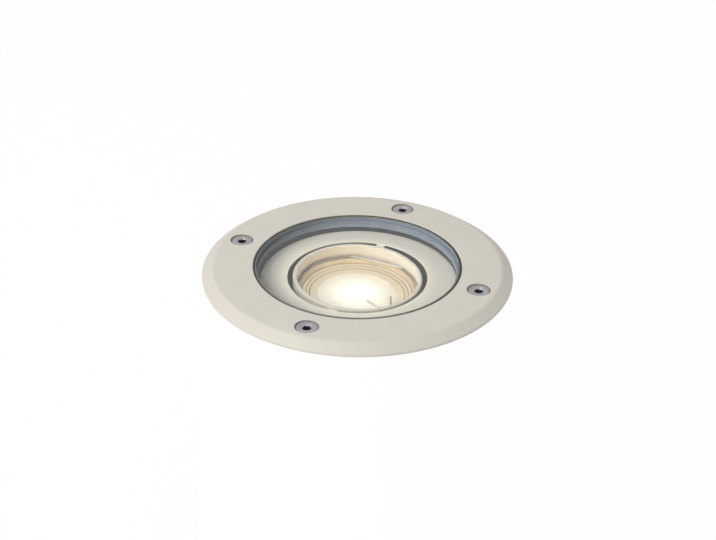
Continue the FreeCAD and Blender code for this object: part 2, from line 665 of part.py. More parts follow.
def make_ground_sleeve():
    """The buried tube, with a turned-in foot, two cable notches and drain slots."""
    sleeve = turned_profile([
        (SLEEVE_BORE_RADIUS - SLEEVE_FOOT_WIDTH, 0),
        (SLEEVE_RADIUS, 0),
        (SLEEVE_RADIUS, SEAT_Z),
        (SLEEVE_BORE_RADIUS, SEAT_Z),
        (SLEEVE_BORE_RADIUS, SLEEVE_FOOT_THICKNESS),
        (SLEEVE_BORE_RADIUS - SLEEVE_FOOT_WIDTH, SLEEVE_FOOT_THICKNESS),
    ])
    notch = arched_cutter(CABLE_NOTCH_WIDTH, -CUT_MARGIN, CABLE_NOTCH_HEIGHT)
    for azimuth in (0, 180):
        sleeve = sleeve.cut(at_azimuth(notch, azimuth))
    drain = arched_cutter(DRAIN_SLOT_WIDTH, DRAIN_SLOT_LEVEL, DRAIN_SLOT_LEVEL + DRAIN_SLOT_HEIGHT)
    for side in (90, 270):
        for index in range(DRAIN_SLOTS_PER_SIDE):
            azimuth = side + DRAIN_SLOT_PITCH * (index - (DRAIN_SLOTS_PER_SIDE - 1) / 2)
            sleeve = sleeve.cut(at_azimuth(drain, azimuth))
    return sleeve


# ---- baffle ring ----
def pivot_ear():
    """A tab bent down from the baffle's hole that carries one pivot pin, built along +X."""
    inner = RING_RADIUS + EAR_GAP
    top = BAFFLE_TOP_Z - EAR_SINK
    bottom = PIVOT_Z - EAR_BELOW_PIVOT
    bridge = block(inner, BAFFLE_HOLE_RADIUS + BAFFLE_SHEET, EAR_WIDTH, BAFFLE_TOP_Z - BAFFLE_SHEET, top)
    leaf = block(inner, inner + EAR_THICKNESS, EAR_WIDTH, bottom, top)
    ear = bridge.fuse(leaf).removeSplitter()
    reach = inner + EAR_THICKNESS + CUT_MARGIN
    pin_hole = Part.makeCylinder(PIN_DIAMETER / 2 + PIN_RUNNING_FIT, reach, FreeCAD.Vector(0, 0, PIVOT_Z),
                                 ALONG_X)
    return ear.cut(pin_hole)


def make_baffle_ring():
    """A spun ring: a shallow cone that rises to its hole, and a skirt that stands in the pot."""
    sheet = BAFFLE_SHEET
    baffle = turned_profile([
        (BAFFLE_HOLE_RADIUS, BAFFLE_TOP_Z - sheet, BAFFLE_LIP_CHAMFER),
        (BAFFLE_RADIUS - sheet, BAFFLE_EDGE_Z - sheet),
        (BAFFLE_RADIUS - sheet, BAFFLE_BOTTOM_Z),
        (BAFFLE_RADIUS, BAFFLE_BOTTOM_Z),
        (BAFFLE_RADIUS, BAFFLE_EDGE_Z, BAFFLE_EDGE_CHAMFER),
        (BAFFLE_HOLE_RADIUS, BAFFLE_TOP_Z, BAFFLE_LIP_CHAMFER),
    ])
    for side in (0, 180):
        baffle = baffle.fuse(at_azimuth(pivot_ear(), PIVOT_AZIMUTH + side))
    return baffle.removeSplitter()


# ---- lamp ring and its pivots ----
def make_lamp_ring():
    seat_radius = RING_BORE_RADIUS - RING_SEAT_WIDTH
    carrier = turned_profile([
        (seat_radius, RING_BOTTOM_Z),
        (RING_RADIUS, RING_BOTTOM_Z, RING_EDGE_CHAMFER),
        (RING_RADIUS, RING_TOP_Z, RING_EDGE_CHAMFER),
        (RING_BORE_RADIUS, RING_TOP_Z, RING_EDGE_CHAMFER),
        (RING_BORE_RADIUS, LAMP_SEAT_Z),
        (seat_radius, LAMP_SEAT_Z),
    ])
    reach = RING_RADIUS + CUT_MARGIN
    start = FreeCAD.Vector(-reach, 0, PIVOT_Z)
    pin_hole = Part.makeCylinder(PIN_DIAMETER / 2 + PIN_RING_FIT, 2 * reach, start, ALONG_X)
    return tilted(carrier.cut(at_azimuth(pin_hole, PIVOT_AZIMUTH)))


def make_pivot_pins():
    start = RING_BORE_RADIUS + PART_FIT
    head = RING_RADIUS + EAR_GAP + EAR_THICKNESS + PIN_RUNNING_FIT
    shank = Part.makeCylinder(PIN_DIAMETER / 2, head - start, FreeCAD.Vector(start, 0, PIVOT_Z), ALONG_X)
    cap = Part.makeCylinder(PIN_HEAD_DIAMETER / 2, PIN_HEAD_HEIGHT, FreeCAD.Vector(head, 0, PIVOT_Z), ALONG_X)
    pin = shank.fuse(cap)
    return [tilted(at_azimuth(pin, PIVOT_AZIMUTH + side)) for side in (0, 180)]


def make_pivot_washers():
    """Spacers between the ring's wall and the ears, hollowed to the ring's curve."""
    reach = RING_RADIUS + EAR_GAP - PIN_RUNNING_FIT
    base = FreeCAD.Vector(RING_BORE_RADIUS, 0, PIVOT_Z)
    length = reach - base.x
    washer = Part.makeCylinder(PIVOT_WASHER_DIAMETER / 2, length, base, ALONG_X)
    washer = washer.cut(Part.makeCylinder(PIN_DIAMETER / 2 + PIN_RING_FIT, length, base, ALONG_X))
    washer = washer.cut(disc(RING_RADIUS, RING_BOTTOM_Z, RING_TOP_Z))
    return [tilted(at_azimuth(washer, PIVOT_AZIMUTH + side)) for side in (0, 180)]


def make_lamp_clip():
    """The sprung wire polygon over the lamp's rim, with both ends turned in as finger tails."""
    level = LAMP_TOP_Z + CLIP_WIRE_DIAMETER / 2
    corner_reach = RING_BORE_RADIUS - PART_FIT - CLIP_WIRE_DIAMETER / 2
    corners = []
    for azimuth in CLIP_CORNER_AZIMUTHS:
        angle = math.radians(azimuth)
        corners.append(FreeCAD.Vector(corner_reach * math.cos(angle), corner_reach * math.sin(angle), level))
    first_tip = corners[0] + FreeCAD.Vector(*CLIP_FIRST_TAIL)
    last_tip = corners[-1] + FreeCAD.Vector(*CLIP_LAST_TAIL)
    points = [first_tip] + corners + [last_tip]
    radii = [CLIP_CORNER_RADIUS] * len(corners)
    radii[0] = CLIP_TAIL_BEND_RADIUS
    radii[-1] = CLIP_TAIL_BEND_RADIUS
    return tilted(swept_wire(points, radii, CLIP_WIRE_DIAMETER))


# ---- reflector lamp ----
def bowl_points(inset):
    """The bowl's parabola, from its shoulder down to its neck, as (radius, level)."""
    points = []
    for step in range(REFLECTOR_STEPS + 1):
        share = step / REFLECTOR_STEPS
        radius = math.sqrt(LAMP_SHOULDER_RADIUS ** 2 * (1 - share) + NECK_RADIUS ** 2 * share)
        points.append((radius - inset, LAMP_SEAT_Z - REFLECTOR_LENGTH * share))
    return points


def make_lamp_reflector():
    """A glass bowl with a thick rim that rests on the ring's seat."""
    bore_radius = LAMP_RADIUS - LAMP_RIM_LIP
    inner = bowl_points(REFLECTOR_WALL)
    rim = [
        (LAMP_RADIUS, LAMP_SEAT_Z),
        (LAMP_RADIUS, LAMP_TOP_Z, LAMP_RIM_CHAMFER),
        (bore_radius, LAMP_TOP_Z, LAMP_RIM_CHAMFER),
        (bore_radius, LENS_BOTTOM_Z),
        (LAMP_SHOULDER_RADIUS - REFLECTOR_WALL, LENS_BOTTOM_Z),
    ]
    return tilted(turned_profile(bowl_points(0)[::-1] + rim + inner))


def make_lamp_front_lens():
    """A stepped glass: a raised centre, a ring groove and a flat border."""
    groove_outer = LENS_RADIUS - LENS_BORDER_WIDTH
    groove_inner = groove_outer - LENS_GROOVE_WIDTH
    centre = groove_inner - LENS_SHELF_WIDTH
    border_z = LENS_TOP_Z - LENS_STEP / 2
    return tilted(turned_profile([
        (0, LENS_BOTTOM_Z),
        (LENS_RADIUS, LENS_BOTTOM_Z),
        (LENS_RADIUS, LENS_TOP_Z),
        (groove_outer, LENS_TOP_Z),
        (groove_outer, LENS_TOP_Z - LENS_STEP),
        (groove_inner, LENS_TOP_Z - LENS_STEP),
        (groove_inner, border_z),
        (centre + LENS_STEP, border_z),
        (centre, LENS_TOP_Z),
        (0, LENS_TOP_Z),
    ]))


def make_lamp_capsule():
    """The burner that stands in the bowl on the lamp's base."""
    return tilted(turned_profile([
        (0, NECK_Z),
        (CAPSULE_DIAMETER / 2, NECK_Z),
        (CAPSULE_DIAMETER / 2, NECK_Z + CAPSULE_LENGTH, CAPSULE_TIP_CHAMFER),
        (0, NECK_Z + CAPSULE_LENGTH),
    ]))


def make_lamp_base():
    """The insulating base: a collar at the bowl's neck and a stem that holds the pins."""
    stem = NECK_RADIUS - REFLECTOR_WALL / 2
    collar = NECK_RADIUS + LAMP_COLLAR_STEP
    return tilted(turned_profile([
        (0, LAMP_END_Z),
        (stem, LAMP_END_Z),
        (stem, NECK_Z - LAMP_COLLAR_HEIGHT),
        (collar, NECK_Z - LAMP_COLLAR_HEIGHT, LAMP_COLLAR_CHAMFER),
        (collar, NECK_Z),
        (0, NECK_Z),
    ]))


def lamp_pin_azimuths():
    """The pins stand square to the pivots, as do the holder's slots."""
    return (PIVOT_AZIMUTH + 90, PIVOT_AZIMUTH + 270)


def make_lamp_contact_pins():
    head_top = LAMP_PIN_END_Z + LAMP_PIN_HEAD_HEIGHT
    neck = disc(LAMP_PIN_DIAMETER / 2, head_top, LAMP_END_Z, LAMP_PIN_PITCH / 2)
    head = disc(LAMP_PIN_HEAD_DIAMETER / 2, LAMP_PIN_END_Z, head_top, LAMP_PIN_PITCH / 2)
    pin = neck.fuse(head)
    return [tilted(at_azimuth(pin, azimuth)) for azimuth in lamp_pin_azimuths()]


# ---- lamp holder, leads and terminal block ----
def holder_slot():
    """The arc-shaped socket of one lamp pin, centred on +X."""
    low = HOLDER_TOP_Z - HOLDER_SLOT_DEPTH
    half_width = HOLDER_SLOT_WIDTH / 2
    centre = LAMP_PIN_PITCH / 2
    sweep = math.radians(HOLDER_SLOT_SWEEP)
    slot = disc(half_width, low, HOLDER_TOP_Z, centre)
    for sign in (1, -1):
        x = centre * math.cos(sign * sweep / 2)
        y = centre * math.sin(sign * sweep / 2)
        slot = slot.fuse(disc(half_width, low, HOLDER_TOP_Z, x, y))
    return slot.removeSplitter()


def contact_levels():
    """Top of the contact plate, just under the lamp pin, and its underside."""
    top = LAMP_PIN_END_Z - PART_FIT
    return top, top - CONTACT_THICKNESS


def make_holder_body():
    plate_low = contact_levels()[1]
    body = turned_profile([
        (0, HOLDER_JOINT_Z),
        (HOLDER_DIAMETER / 2, HOLDER_JOINT_Z),
        (HOLDER_DIAMETER / 2, HOLDER_TOP_Z, HOLDER_EDGE_CHAMFER),
        (0, HOLDER_TOP_Z),
    ])
    slot = holder_slot()
    post_hole = disc(CONTACT_POST_DIAMETER / 2 + PART_FIT, HOLDER_JOINT_Z, plate_low, LAMP_PIN_PITCH / 2)
    for azimuth in lamp_pin_azimuths():
        body = body.cut(at_azimuth(slot, azimuth))
        body = body.cut(at_azimuth(post_hole, azimuth))
    bite_z = HOLDER_JOINT_Z + HOLDER_SCREW_BITE
    screw_hole = disc(HOLDER_SCREW_DIAMETER / 2 + THREAD_FIT, HOLDER_JOINT_Z, bite_z, HOLDER_SCREW_OFFSET)
    for side in (0, 180):
        body = body.cut(at_azimuth(screw_hole, PIVOT_AZIMUTH + side))
    return tilted(body)


def make_holder_contacts():
    top, low = contact_levels()
    plate = disc(CONTACT_WIDTH / 2, low, top, LAMP_PIN_PITCH / 2)
    post = disc(CONTACT_POST_DIAMETER / 2, HOLDER_BOTTOM_Z + LEAD_SOCKET_DEPTH, low, LAMP_PIN_PITCH / 2)
    contact = plate.fuse(post)
    return [tilted(at_azimuth(contact, azimuth)) for azimuth in lamp_pin_azimuths()]


def make_holder_cover():
    cover = turned_profile([
        (0, HOLDER_BOTTOM_Z),
        (HOLDER_DIAMETER / 2, HOLDER_BOTTOM_Z, HOLDER_EDGE_CHAMFER),
        (HOLDER_DIAMETER / 2, HOLDER_JOINT_Z),
        (0, HOLDER_JOINT_Z),
    ])
    socket_z = HOLDER_BOTTOM_Z + LEAD_SOCKET_DEPTH
    post_hole = disc(CONTACT_POST_DIAMETER / 2 + PART_FIT, socket_z, HOLDER_JOINT_Z, LAMP_PIN_PITCH / 2)
    lead_hole = disc(LEAD_DIAMETER / 2 + PART_FIT, HOLDER_BOTTOM_Z, socket_z, LAMP_PIN_PITCH / 2)
    for azimuth in lamp_pin_azimuths():
        cover = cover.cut(at_azimuth(post_hole, azimuth))
        cover = cover.cut(at_azimuth(lead_hole, azimuth))
    seat = HOLDER_BOTTOM_Z + HOLDER_SCREW_HEAD_HEIGHT
    shank = disc(HOLDER_SCREW_DIAMETER / 2 + THREAD_FIT, seat, HOLDER_JOINT_Z, HOLDER_SCREW_OFFSET)
    recess = disc(HOLDER_SCREW_HEAD / 2 + PART_FIT, HOLDER_BOTTOM_Z, seat, HOLDER_SCREW_OFFSET)
    for side in (0, 180):
        cover = cover.cut(at_azimuth(shank.fuse(recess), PIVOT_AZIMUTH + side))
    return tilted(cover)


def make_holder_screws():
    seat = HOLDER_BOTTOM_Z + HOLDER_SCREW_HEAD_HEIGHT
    head = disc(HOLDER_SCREW_HEAD / 2, HOLDER_BOTTOM_Z, seat, HOLDER_SCREW_OFFSET)
    shank = disc(HOLDER_SCREW_DIAMETER / 2, seat, HOLDER_JOINT_Z + HOLDER_SCREW_BITE, HOLDER_SCREW_OFFSET)
    near = HOLDER_SCREW_OFFSET - HOLDER_SCREW_HEAD
    far = HOLDER_SCREW_OFFSET + HOLDER_SCREW_HEAD
    slot = block(near, far, BLOCK_SCREW_SLOT, HOLDER_BOTTOM_Z, HOLDER_BOTTOM_Z + HOLDER_SCREW_HEAD_HEIGHT / 2)
    screw = head.fuse(shank).cut(slot)
    return [tilted(at_azimuth(screw, PIVOT_AZIMUTH + side)) for side in (0, 180)]


def make_lead(side, extra_drop):
    """One lead from the holder's back, round under it and up into the terminal block."""
    start = FreeCAD.Vector(0, side * LAMP_PIN_PITCH / 2, HOLDER_BOTTOM_Z + LEAD_SOCKET_DEPTH)
    end = FreeCAD.Vector(BLOCK_OFFSET, side * LEAD_PITCH / 2, BLOCK_BOTTOM_Z + insert_inset())
    level = HOLDER_BOTTOM_Z - LEAD_DROP - extra_drop
    points = [
        start,
        FreeCAD.Vector(start.x, start.y, level),
        FreeCAD.Vector(end.x, end.y, level),
        end,
    ]
    lead = swept_wire(points, [LEAD_BEND_RADIUS, LEAD_BEND_RADIUS], LEAD_DIAMETER)
    return tilted(at_azimuth(lead, PIVOT_AZIMUTH))


def insert_inset():
    """How far the brass inserts sit inside each end of the terminal block."""
    return (BLOCK_HEIGHT - INSERT_LENGTH) / 2


def block_screw_levels():
    middle = BLOCK_BOTTOM_Z + BLOCK_HEIGHT / 2
    return (middle - BLOCK_SCREW_SPACING / 2, middle + BLOCK_SCREW_SPACING / 2)


def make_terminal_block():
    """A two-pole block beside the holder, with a wire tunnel and two screw wells for each pole."""
    outer_face = BLOCK_OFFSET + BLOCK_THICKNESS / 2
    top = BLOCK_BOTTOM_Z + BLOCK_HEIGHT
    body = block(outer_face - BLOCK_THICKNESS, outer_face, BLOCK_WIDTH, BLOCK_BOTTOM_Z, top)
    upright = [edge for edge in body.Edges if abs(edge.tangentAt(edge.FirstParameter).z) > 0.9]
    body = body.makeFillet(BLOCK_EDGE_RADIUS, upright)
    for side in (1, -1):
        y = side * LEAD_PITCH / 2
        tunnel = disc(INSERT_DIAMETER / 2 + PART_FIT, BLOCK_BOTTOM_Z, top, BLOCK_OFFSET, y)
        body = body.cut(tunnel)
        for level in block_screw_levels():
            base = FreeCAD.Vector(BLOCK_OFFSET, y, level)
            well = Part.makeCylinder(BLOCK_SCREW_WELL / 2, BLOCK_THICKNESS / 2, base, ALONG_X)
            body = body.cut(well)
    return tilted(at_azimuth(body, PIVOT_AZIMUTH))


def make_terminal_inserts():
    inserts = []
    low = BLOCK_BOTTOM_Z + insert_inset()
    for side in (1, -1):
        y = side * LEAD_PITCH / 2
        insert = ring(INSERT_BORE / 2, INSERT_DIAMETER / 2, low, low + INSERT_LENGTH, BLOCK_OFFSET, y)
        for level in block_screw_levels():
            base = FreeCAD.Vector(BLOCK_OFFSET, y, level)
            tapping = Part.makeCylinder(BLOCK_SCREW_DIAMETER / 2 + THREAD_FIT, INSERT_DIAMETER, base, ALONG_X)
            insert = insert.cut(tapping)
        inserts.append(tilted(at_azimuth(insert, PIVOT_AZIMUTH)))
    return inserts


def make_terminal_screws():
    screws = []
    start = BLOCK_OFFSET + INSERT_BORE / 2
    end = BLOCK_OFFSET + BLOCK_THICKNESS / 2 - BLOCK_SCREW_INSET
    for side in (1, -1):
        y = side * LEAD_PITCH / 2
        for level in block_screw_levels():
            base = FreeCAD.Vector(start, y, level)
            screw = Part.makeCylinder(BLOCK_SCREW_DIAMETER / 2, end - start, base, ALONG_X)
            slot = Part.makeBox(BLOCK_SCREW_SLOT, BLOCK_SCREW_DIAMETER, BLOCK_SCREW_SLOT)
            slot.translate(base + FreeCAD.Vector(end - start - BLOCK_SCREW_SLOT, -BLOCK_SCREW_DIAMETER / 2,
                                                 -BLOCK_SCREW_SLOT / 2))
            screws.append(tilted(at_azimuth(screw.cut(slot), PIVOT_AZIMUTH)))
    return screws


def main():
    os.makedirs("parts", exist_ok=True)
    save("trim_bezel", make_trim_bezel())
    save_group("bezel_screws", make_bezel_screws())
    save("glass_pane", make_glass_pane())
    save("glass_gasket", make_glass_gasket())
    save("glass_carrier", make_glass_carrier())
    save("carrier_seal", make_carrier_seal())
    save("flange_gasket", make_flange_gasket())
    save("housing_pot", make_housing_pot())
    save_group("gland_washers", make_gland_washers())
    save_group("gland_locknuts", make_gland_locknuts())
    save("cable_gland_body", make_cable_gland_body())
    save("cable_gland_seal", make_cable_gland_seal())
    save("cable_gland_nut", make_cable_gland_nut())
    save("blanking_plug", make_blanking_plug())
    save("earth_washer", make_earth_washer())
    save("earth_screw", make_earth_screw())
    save("ground_sleeve", make_ground_sleeve())
    save("baffle_ring", make_baffle_ring())
    save("lamp_ring", make_lamp_ring())
    save_group("pivot_pins", make_pivot_pins())
    save_group("pivot_washers", make_pivot_washers())
    save("lamp_clip", make_lamp_clip())
    save("lamp_reflector", make_lamp_reflector())
    save("lamp_front_lens", make_lamp_front_lens())
    save("lamp_capsule", make_lamp_capsule())
    save("lamp_base", make_lamp_base())
    save_group("lamp_contact_pins", make_lamp_contact_pins())
    save("holder_body", make_holder_body())
    save("holder_cover", make_holder_cover())
    save_group("holder_contacts", make_holder_contacts())
    save_group("holder_screws", make_holder_screws())
    save("lead_live", make_lead(1, 0.0))
    save("lead_neutral", make_lead(-1, LEAD_DROP_STEP))
    save("terminal_block", make_terminal_block())
    save_group("terminal_inserts", make_terminal_inserts())
    save_group("terminal_screws", make_terminal_screws())


main()
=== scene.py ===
"""Dresses the in-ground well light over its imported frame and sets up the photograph's view of it."""
import json
import logging
import math
from collections.abc import Callable
from dataclasses import dataclass
from enum import Enum

import bmesh
import bpy
from mathutils import Matrix, Vector


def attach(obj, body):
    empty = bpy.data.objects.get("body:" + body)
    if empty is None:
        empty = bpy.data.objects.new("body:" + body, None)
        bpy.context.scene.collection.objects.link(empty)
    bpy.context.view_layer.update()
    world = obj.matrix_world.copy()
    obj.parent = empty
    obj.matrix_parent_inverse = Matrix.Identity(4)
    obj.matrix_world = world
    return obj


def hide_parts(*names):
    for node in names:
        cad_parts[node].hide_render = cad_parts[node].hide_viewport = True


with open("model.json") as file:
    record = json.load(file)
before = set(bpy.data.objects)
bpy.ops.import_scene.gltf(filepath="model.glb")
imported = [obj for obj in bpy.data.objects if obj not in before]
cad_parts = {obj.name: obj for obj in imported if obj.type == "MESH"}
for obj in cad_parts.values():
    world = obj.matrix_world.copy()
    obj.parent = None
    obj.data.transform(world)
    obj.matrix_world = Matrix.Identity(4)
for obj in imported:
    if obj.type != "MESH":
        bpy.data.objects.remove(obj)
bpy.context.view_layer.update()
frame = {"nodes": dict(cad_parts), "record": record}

MM = 0.001
NEAR = 2e-6              # how far off a vertex may lie and still be the one that is meant, in metres
LOOSE = 2e-5             # the same, for vertices on a curve or on a path that is built up step by step
WELD = 1e-6              # vertices closer than this become one, in metres
FLAT = 0.97              # the normal's Z from which a face counts as level
LOG = logging.getLogger("well_light")

Piece = bpy.types.Object
Material = bpy.types.Material
Tree = bpy.types.NodeTree
Node = bpy.types.Node
Socket = bpy.types.NodeSocket
Corner = tuple[float, ...]
Colour = tuple[float, float, float]


class Body(Enum):
    """The rigid bodies of the frame that a piece can ride on."""

    FIXTURE = "fixture"
    BAFFLE = "baffle"
    LAMP_HEAD = "lamp_head"


class Slot(Enum):
    """The record's material slots."""

    CREAM_COAT = "cream_coat"
    BARE_ALUMINIUM = "bare_aluminium"
    STAINLESS = "stainless"
    WINDOW_GLASS = "window_glass"
    SEAL_RUBBER = "seal_rubber"
    BLACK_NYLON = "black_nylon"
    SLEEVE_PLASTIC = "sleeve_plastic"
    BOWL_GLASS = "bowl_glass"
    LENS_GLASS = "lens_glass"
    CAPSULE_GLASS = "capsule_glass"
    WHITE_CERAMIC = "white_ceramic"
    NICKEL = "nickel"
    BRASS = "brass"
    LEAD_SLEEVING = "lead_sleeving"
    BLOCK_PLASTIC = "block_plastic"


# ---- modelling by operators ----
def deselect_all() -> None:
    """Leaves edit mode and selects nothing."""
    if bpy.context.object and bpy.context.object.mode != "OBJECT":
        bpy.ops.object.mode_set(mode="OBJECT")
    bpy.ops.object.select_all(action="DESELECT")


def take(piece: Piece) -> None:
    """Selects one piece alone and makes it active.

    Args:
        piece: The piece to work on.
    """
    deselect_all()
    piece.select_set(True)
    bpy.context.view_layer.objects.active = piece


def settle(piece: Piece) -> None:
    """Puts a piece's place, turn and scale into its mesh.

    Args:
        piece: The piece, whose object ends at the origin.
    """
    take(piece)
    bpy.ops.object.transform_apply(location=True, rotation=True, scale=True)


def added(name: str) -> Piece:
    """Names and settles the piece that an operator has just added.

    Args:
        name: The piece's name.

    Returns:
        The piece.
    """
    piece = bpy.context.object
    piece.name = name
    settle(piece)
    return piece


def move_piece(piece: Piece, matrix: Matrix) -> Piece:
    """Moves a piece and keeps its object at the origin.

    Args:
        piece: The piece to move.
        matrix: Where it goes.

    Returns:
        The same piece.
    """
    piece.matrix_world = matrix
    settle(piece)
    return piece


def copy_piece(piece: Piece, matrix: Matrix) -> Piece:
    """Copies a piece with its own mesh.

    Args:
        piece: The piece that is modelled once.
        matrix: Where the copy goes.

    Returns:
        The copy.
    """
    take(piece)
    bpy.ops.object.duplicate(linked=False)
    return move_piece(bpy.context.object, matrix)


def spread(piece: Piece, places: list[Matrix]) -> list[Piece]:
    """Puts copies of a piece at several places and removes the piece itself.

    Args:
        piece: The piece that is modelled once.
        places: Where the copies go.

    Returns:
        The copies.
    """
    copies = [copy_piece(piece, place) for place in places]
    bpy.data.objects.remove(piece, do_unlink=True)
    return copies


def join_pieces(pieces: list[Piece], name: str) -> Piece:
    """Joins pieces of one kind into one object.

    Args:
        pieces: The pieces, of which the first is kept.
        name: The joined object's name.

    Returns:
        The joined object.
    """
    deselect_all()
    for piece in pieces:
        piece.select_set(True)
    bpy.context.view_layer.objects.active = pieces[0]
    bpy.ops.object.join()
    joined = bpy.context.object
    joined.name = name
    return joined


def modify(piece: Piece, kind: str, **settings: object) -> None:
    """Adds a modifier and applies it.

    Args:
        piece: The piece.
        kind: The modifier's type name.
        **settings: Properties to set on it.
    """
    take(piece)
    bpy.ops.object.modifier_add(type=kind)
    modifier = piece.modifiers[-1]
    for key, value in settings.items():
        setattr(modifier, key, value)
    bpy.ops.object.modifier_apply(modifier=modifier.name)


def cut(piece: Piece, *cutters: Piece) -> None:
    """Cuts one closed piece with others, which are then removed.

    Args:
        piece: The piece that is cut.
        *cutters: The closed shapes that are taken away.
    """
    for cutter in cutters:
        modify(piece, "BOOLEAN", operation="DIFFERENCE", solver="EXACT", object=cutter)
        bpy.data.objects.remove(cutter, do_unlink=True)


def smooth(piece: Piece, degrees: float, weighted: bool = True) -> None:
    """Shades a piece smooth up to an angle, with flat faces kept flat.

    Args:
        piece: The finished piece.
        degrees: The least angle that stays a sharp edge.
        weighted: Whether large faces rule the normals.
    """
    take(piece)
    bpy.ops.object.shade_smooth_by_angle(angle=math.radians(degrees))
    if weighted:
        modify(piece, "WEIGHTED_NORMAL", keep_sharp=True)


def round_edges(piece: Piece, width: float, degrees: float, segments: int = 2) -> None:
    """Rounds every edge of a piece that is sharper than an angle.

    Args:
        piece: The piece.
        width: The rounding's width in millimetres.
        degrees: The least angle that is rounded.
        segments: Faces across the rounding.
    """
    modify(piece, "BEVEL", width=width * MM, segments=segments, limit_method="ANGLE",
           angle_limit=math.radians(degrees))


def pick(piece: Piece, kind: str, wanted: Callable[[object], bool]) -> None:
    """Selects the parts of a piece that pass a test, and leaves it in edit mode.

    Args:
        piece: The active piece.
        kind: VERT, EDGE or FACE.
        wanted: The test for one vertex, edge or face.
    """
    bpy.ops.object.mode_set(mode="EDIT")
    bpy.ops.mesh.select_mode(type=kind)
    bpy.ops.mesh.select_all(action="DESELECT")
    mesh = bmesh.from_edit_mesh(piece.data)
    for element in {"VERT": mesh.verts, "EDGE": mesh.edges, "FACE": mesh.faces}[kind]:
        element.select_set(wanted(element))
    bmesh.update_edit_mesh(piece.data)


@dataclass
class Lathe:
    """A turned piece: one circle extruded from corner to corner of a profile.

    A corner is (radius, level) or (radius, level, rounding), in millimetres. A radius of 0 closes an end.
    """

    name: str
    corners: tuple[Corner, ...]
    segments: int = 160
    steps: int = 3

    def turn(self) -> Piece:
        """Turns the profile about the Z axis.

        Returns:
            The closed piece, with its faces outward.
        """
        rims = [corner for corner in self.corners if corner[0] > 0]
        closed = len(rims) == len(self.corners)
        deselect_all()
        bpy.ops.mesh.primitive_circle_add(vertices=self.segments, radius=rims[0][0] * MM,
                                          location=(0, 0, rims[0][1] * MM))
        piece = added(self.name)
        bpy.ops.object.mode_set(mode="EDIT")
        bpy.ops.mesh.select_mode(type="EDGE")
        bpy.ops.mesh.select_all(action="SELECT")
        path = rims + rims[:1] if closed else rims
        for before, corner in zip(path, path[1:]):
            rise = (corner[1] - before[1]) * MM
            bpy.ops.mesh.extrude_edges_move(TRANSFORM_OT_translate={"value": (0, 0, rise)})
            if corner[0] != before[0]:
                factor = corner[0] / before[0]
                bpy.ops.transform.resize(value=(factor, factor, 1), center_override=(0, 0, corner[1] * MM))
        bpy.ops.mesh.select_all(action="SELECT")
        bpy.ops.mesh.remove_doubles(threshold=WELD)
        if not closed:
            for rim in (rims[0], rims[-1]):
                self.pick_rim(piece, rim)
                bpy.ops.mesh.edge_face_add()
        bpy.ops.mesh.select_all(action="SELECT")
        bpy.ops.mesh.normals_make_consistent(inside=False)
        for corner in rims:
            if len(corner) > 2:
                self.pick_rim(piece, corner)
                bpy.ops.mesh.bevel(offset=corner[2] * MM, segments=self.steps, affect="EDGES")
        bpy.ops.object.mode_set(mode="OBJECT")
        return piece

    @staticmethod
    def pick_rim(piece: Piece, corner: Corner) -> None:
        """Selects the ring of edges at one corner of the profile.

        Args:
            piece: The piece in edit mode.
            corner: The corner's radius and level in millimetres.
        """
        pick(piece, "EDGE", lambda edge: all(
            abs(vert.co.xy.length - corner[0] * MM) < NEAR
            and abs(vert.co.z - corner[1] * MM) < NEAR for vert in edge.verts))


def keep_own_place(piece: Piece) -> None:
    """Stores each vertex's place about the piece's own axis, for patterns that go with every copy.

    Args:
        piece: The piece, still on the light's axis.
    """
    places = piece.data.attributes.new("own_place", "FLOAT_VECTOR", "POINT")
    for vert in piece.data.vertices:
        places.data[vert.index].vector = vert.co


def around(azimuth: float, radius: float = 0.0) -> Matrix:
    """A place on a circle about the light's axis.

    Args:
        azimuth: The turn in degrees from +X.
        radius: The circle's radius in millimetres.

    Returns:
        The turn about Z after the move along X.
    """
    return Matrix.Rotation(math.radians(azimuth), 4, "Z") @ Matrix.Translation((radius * MM, 0, 0))


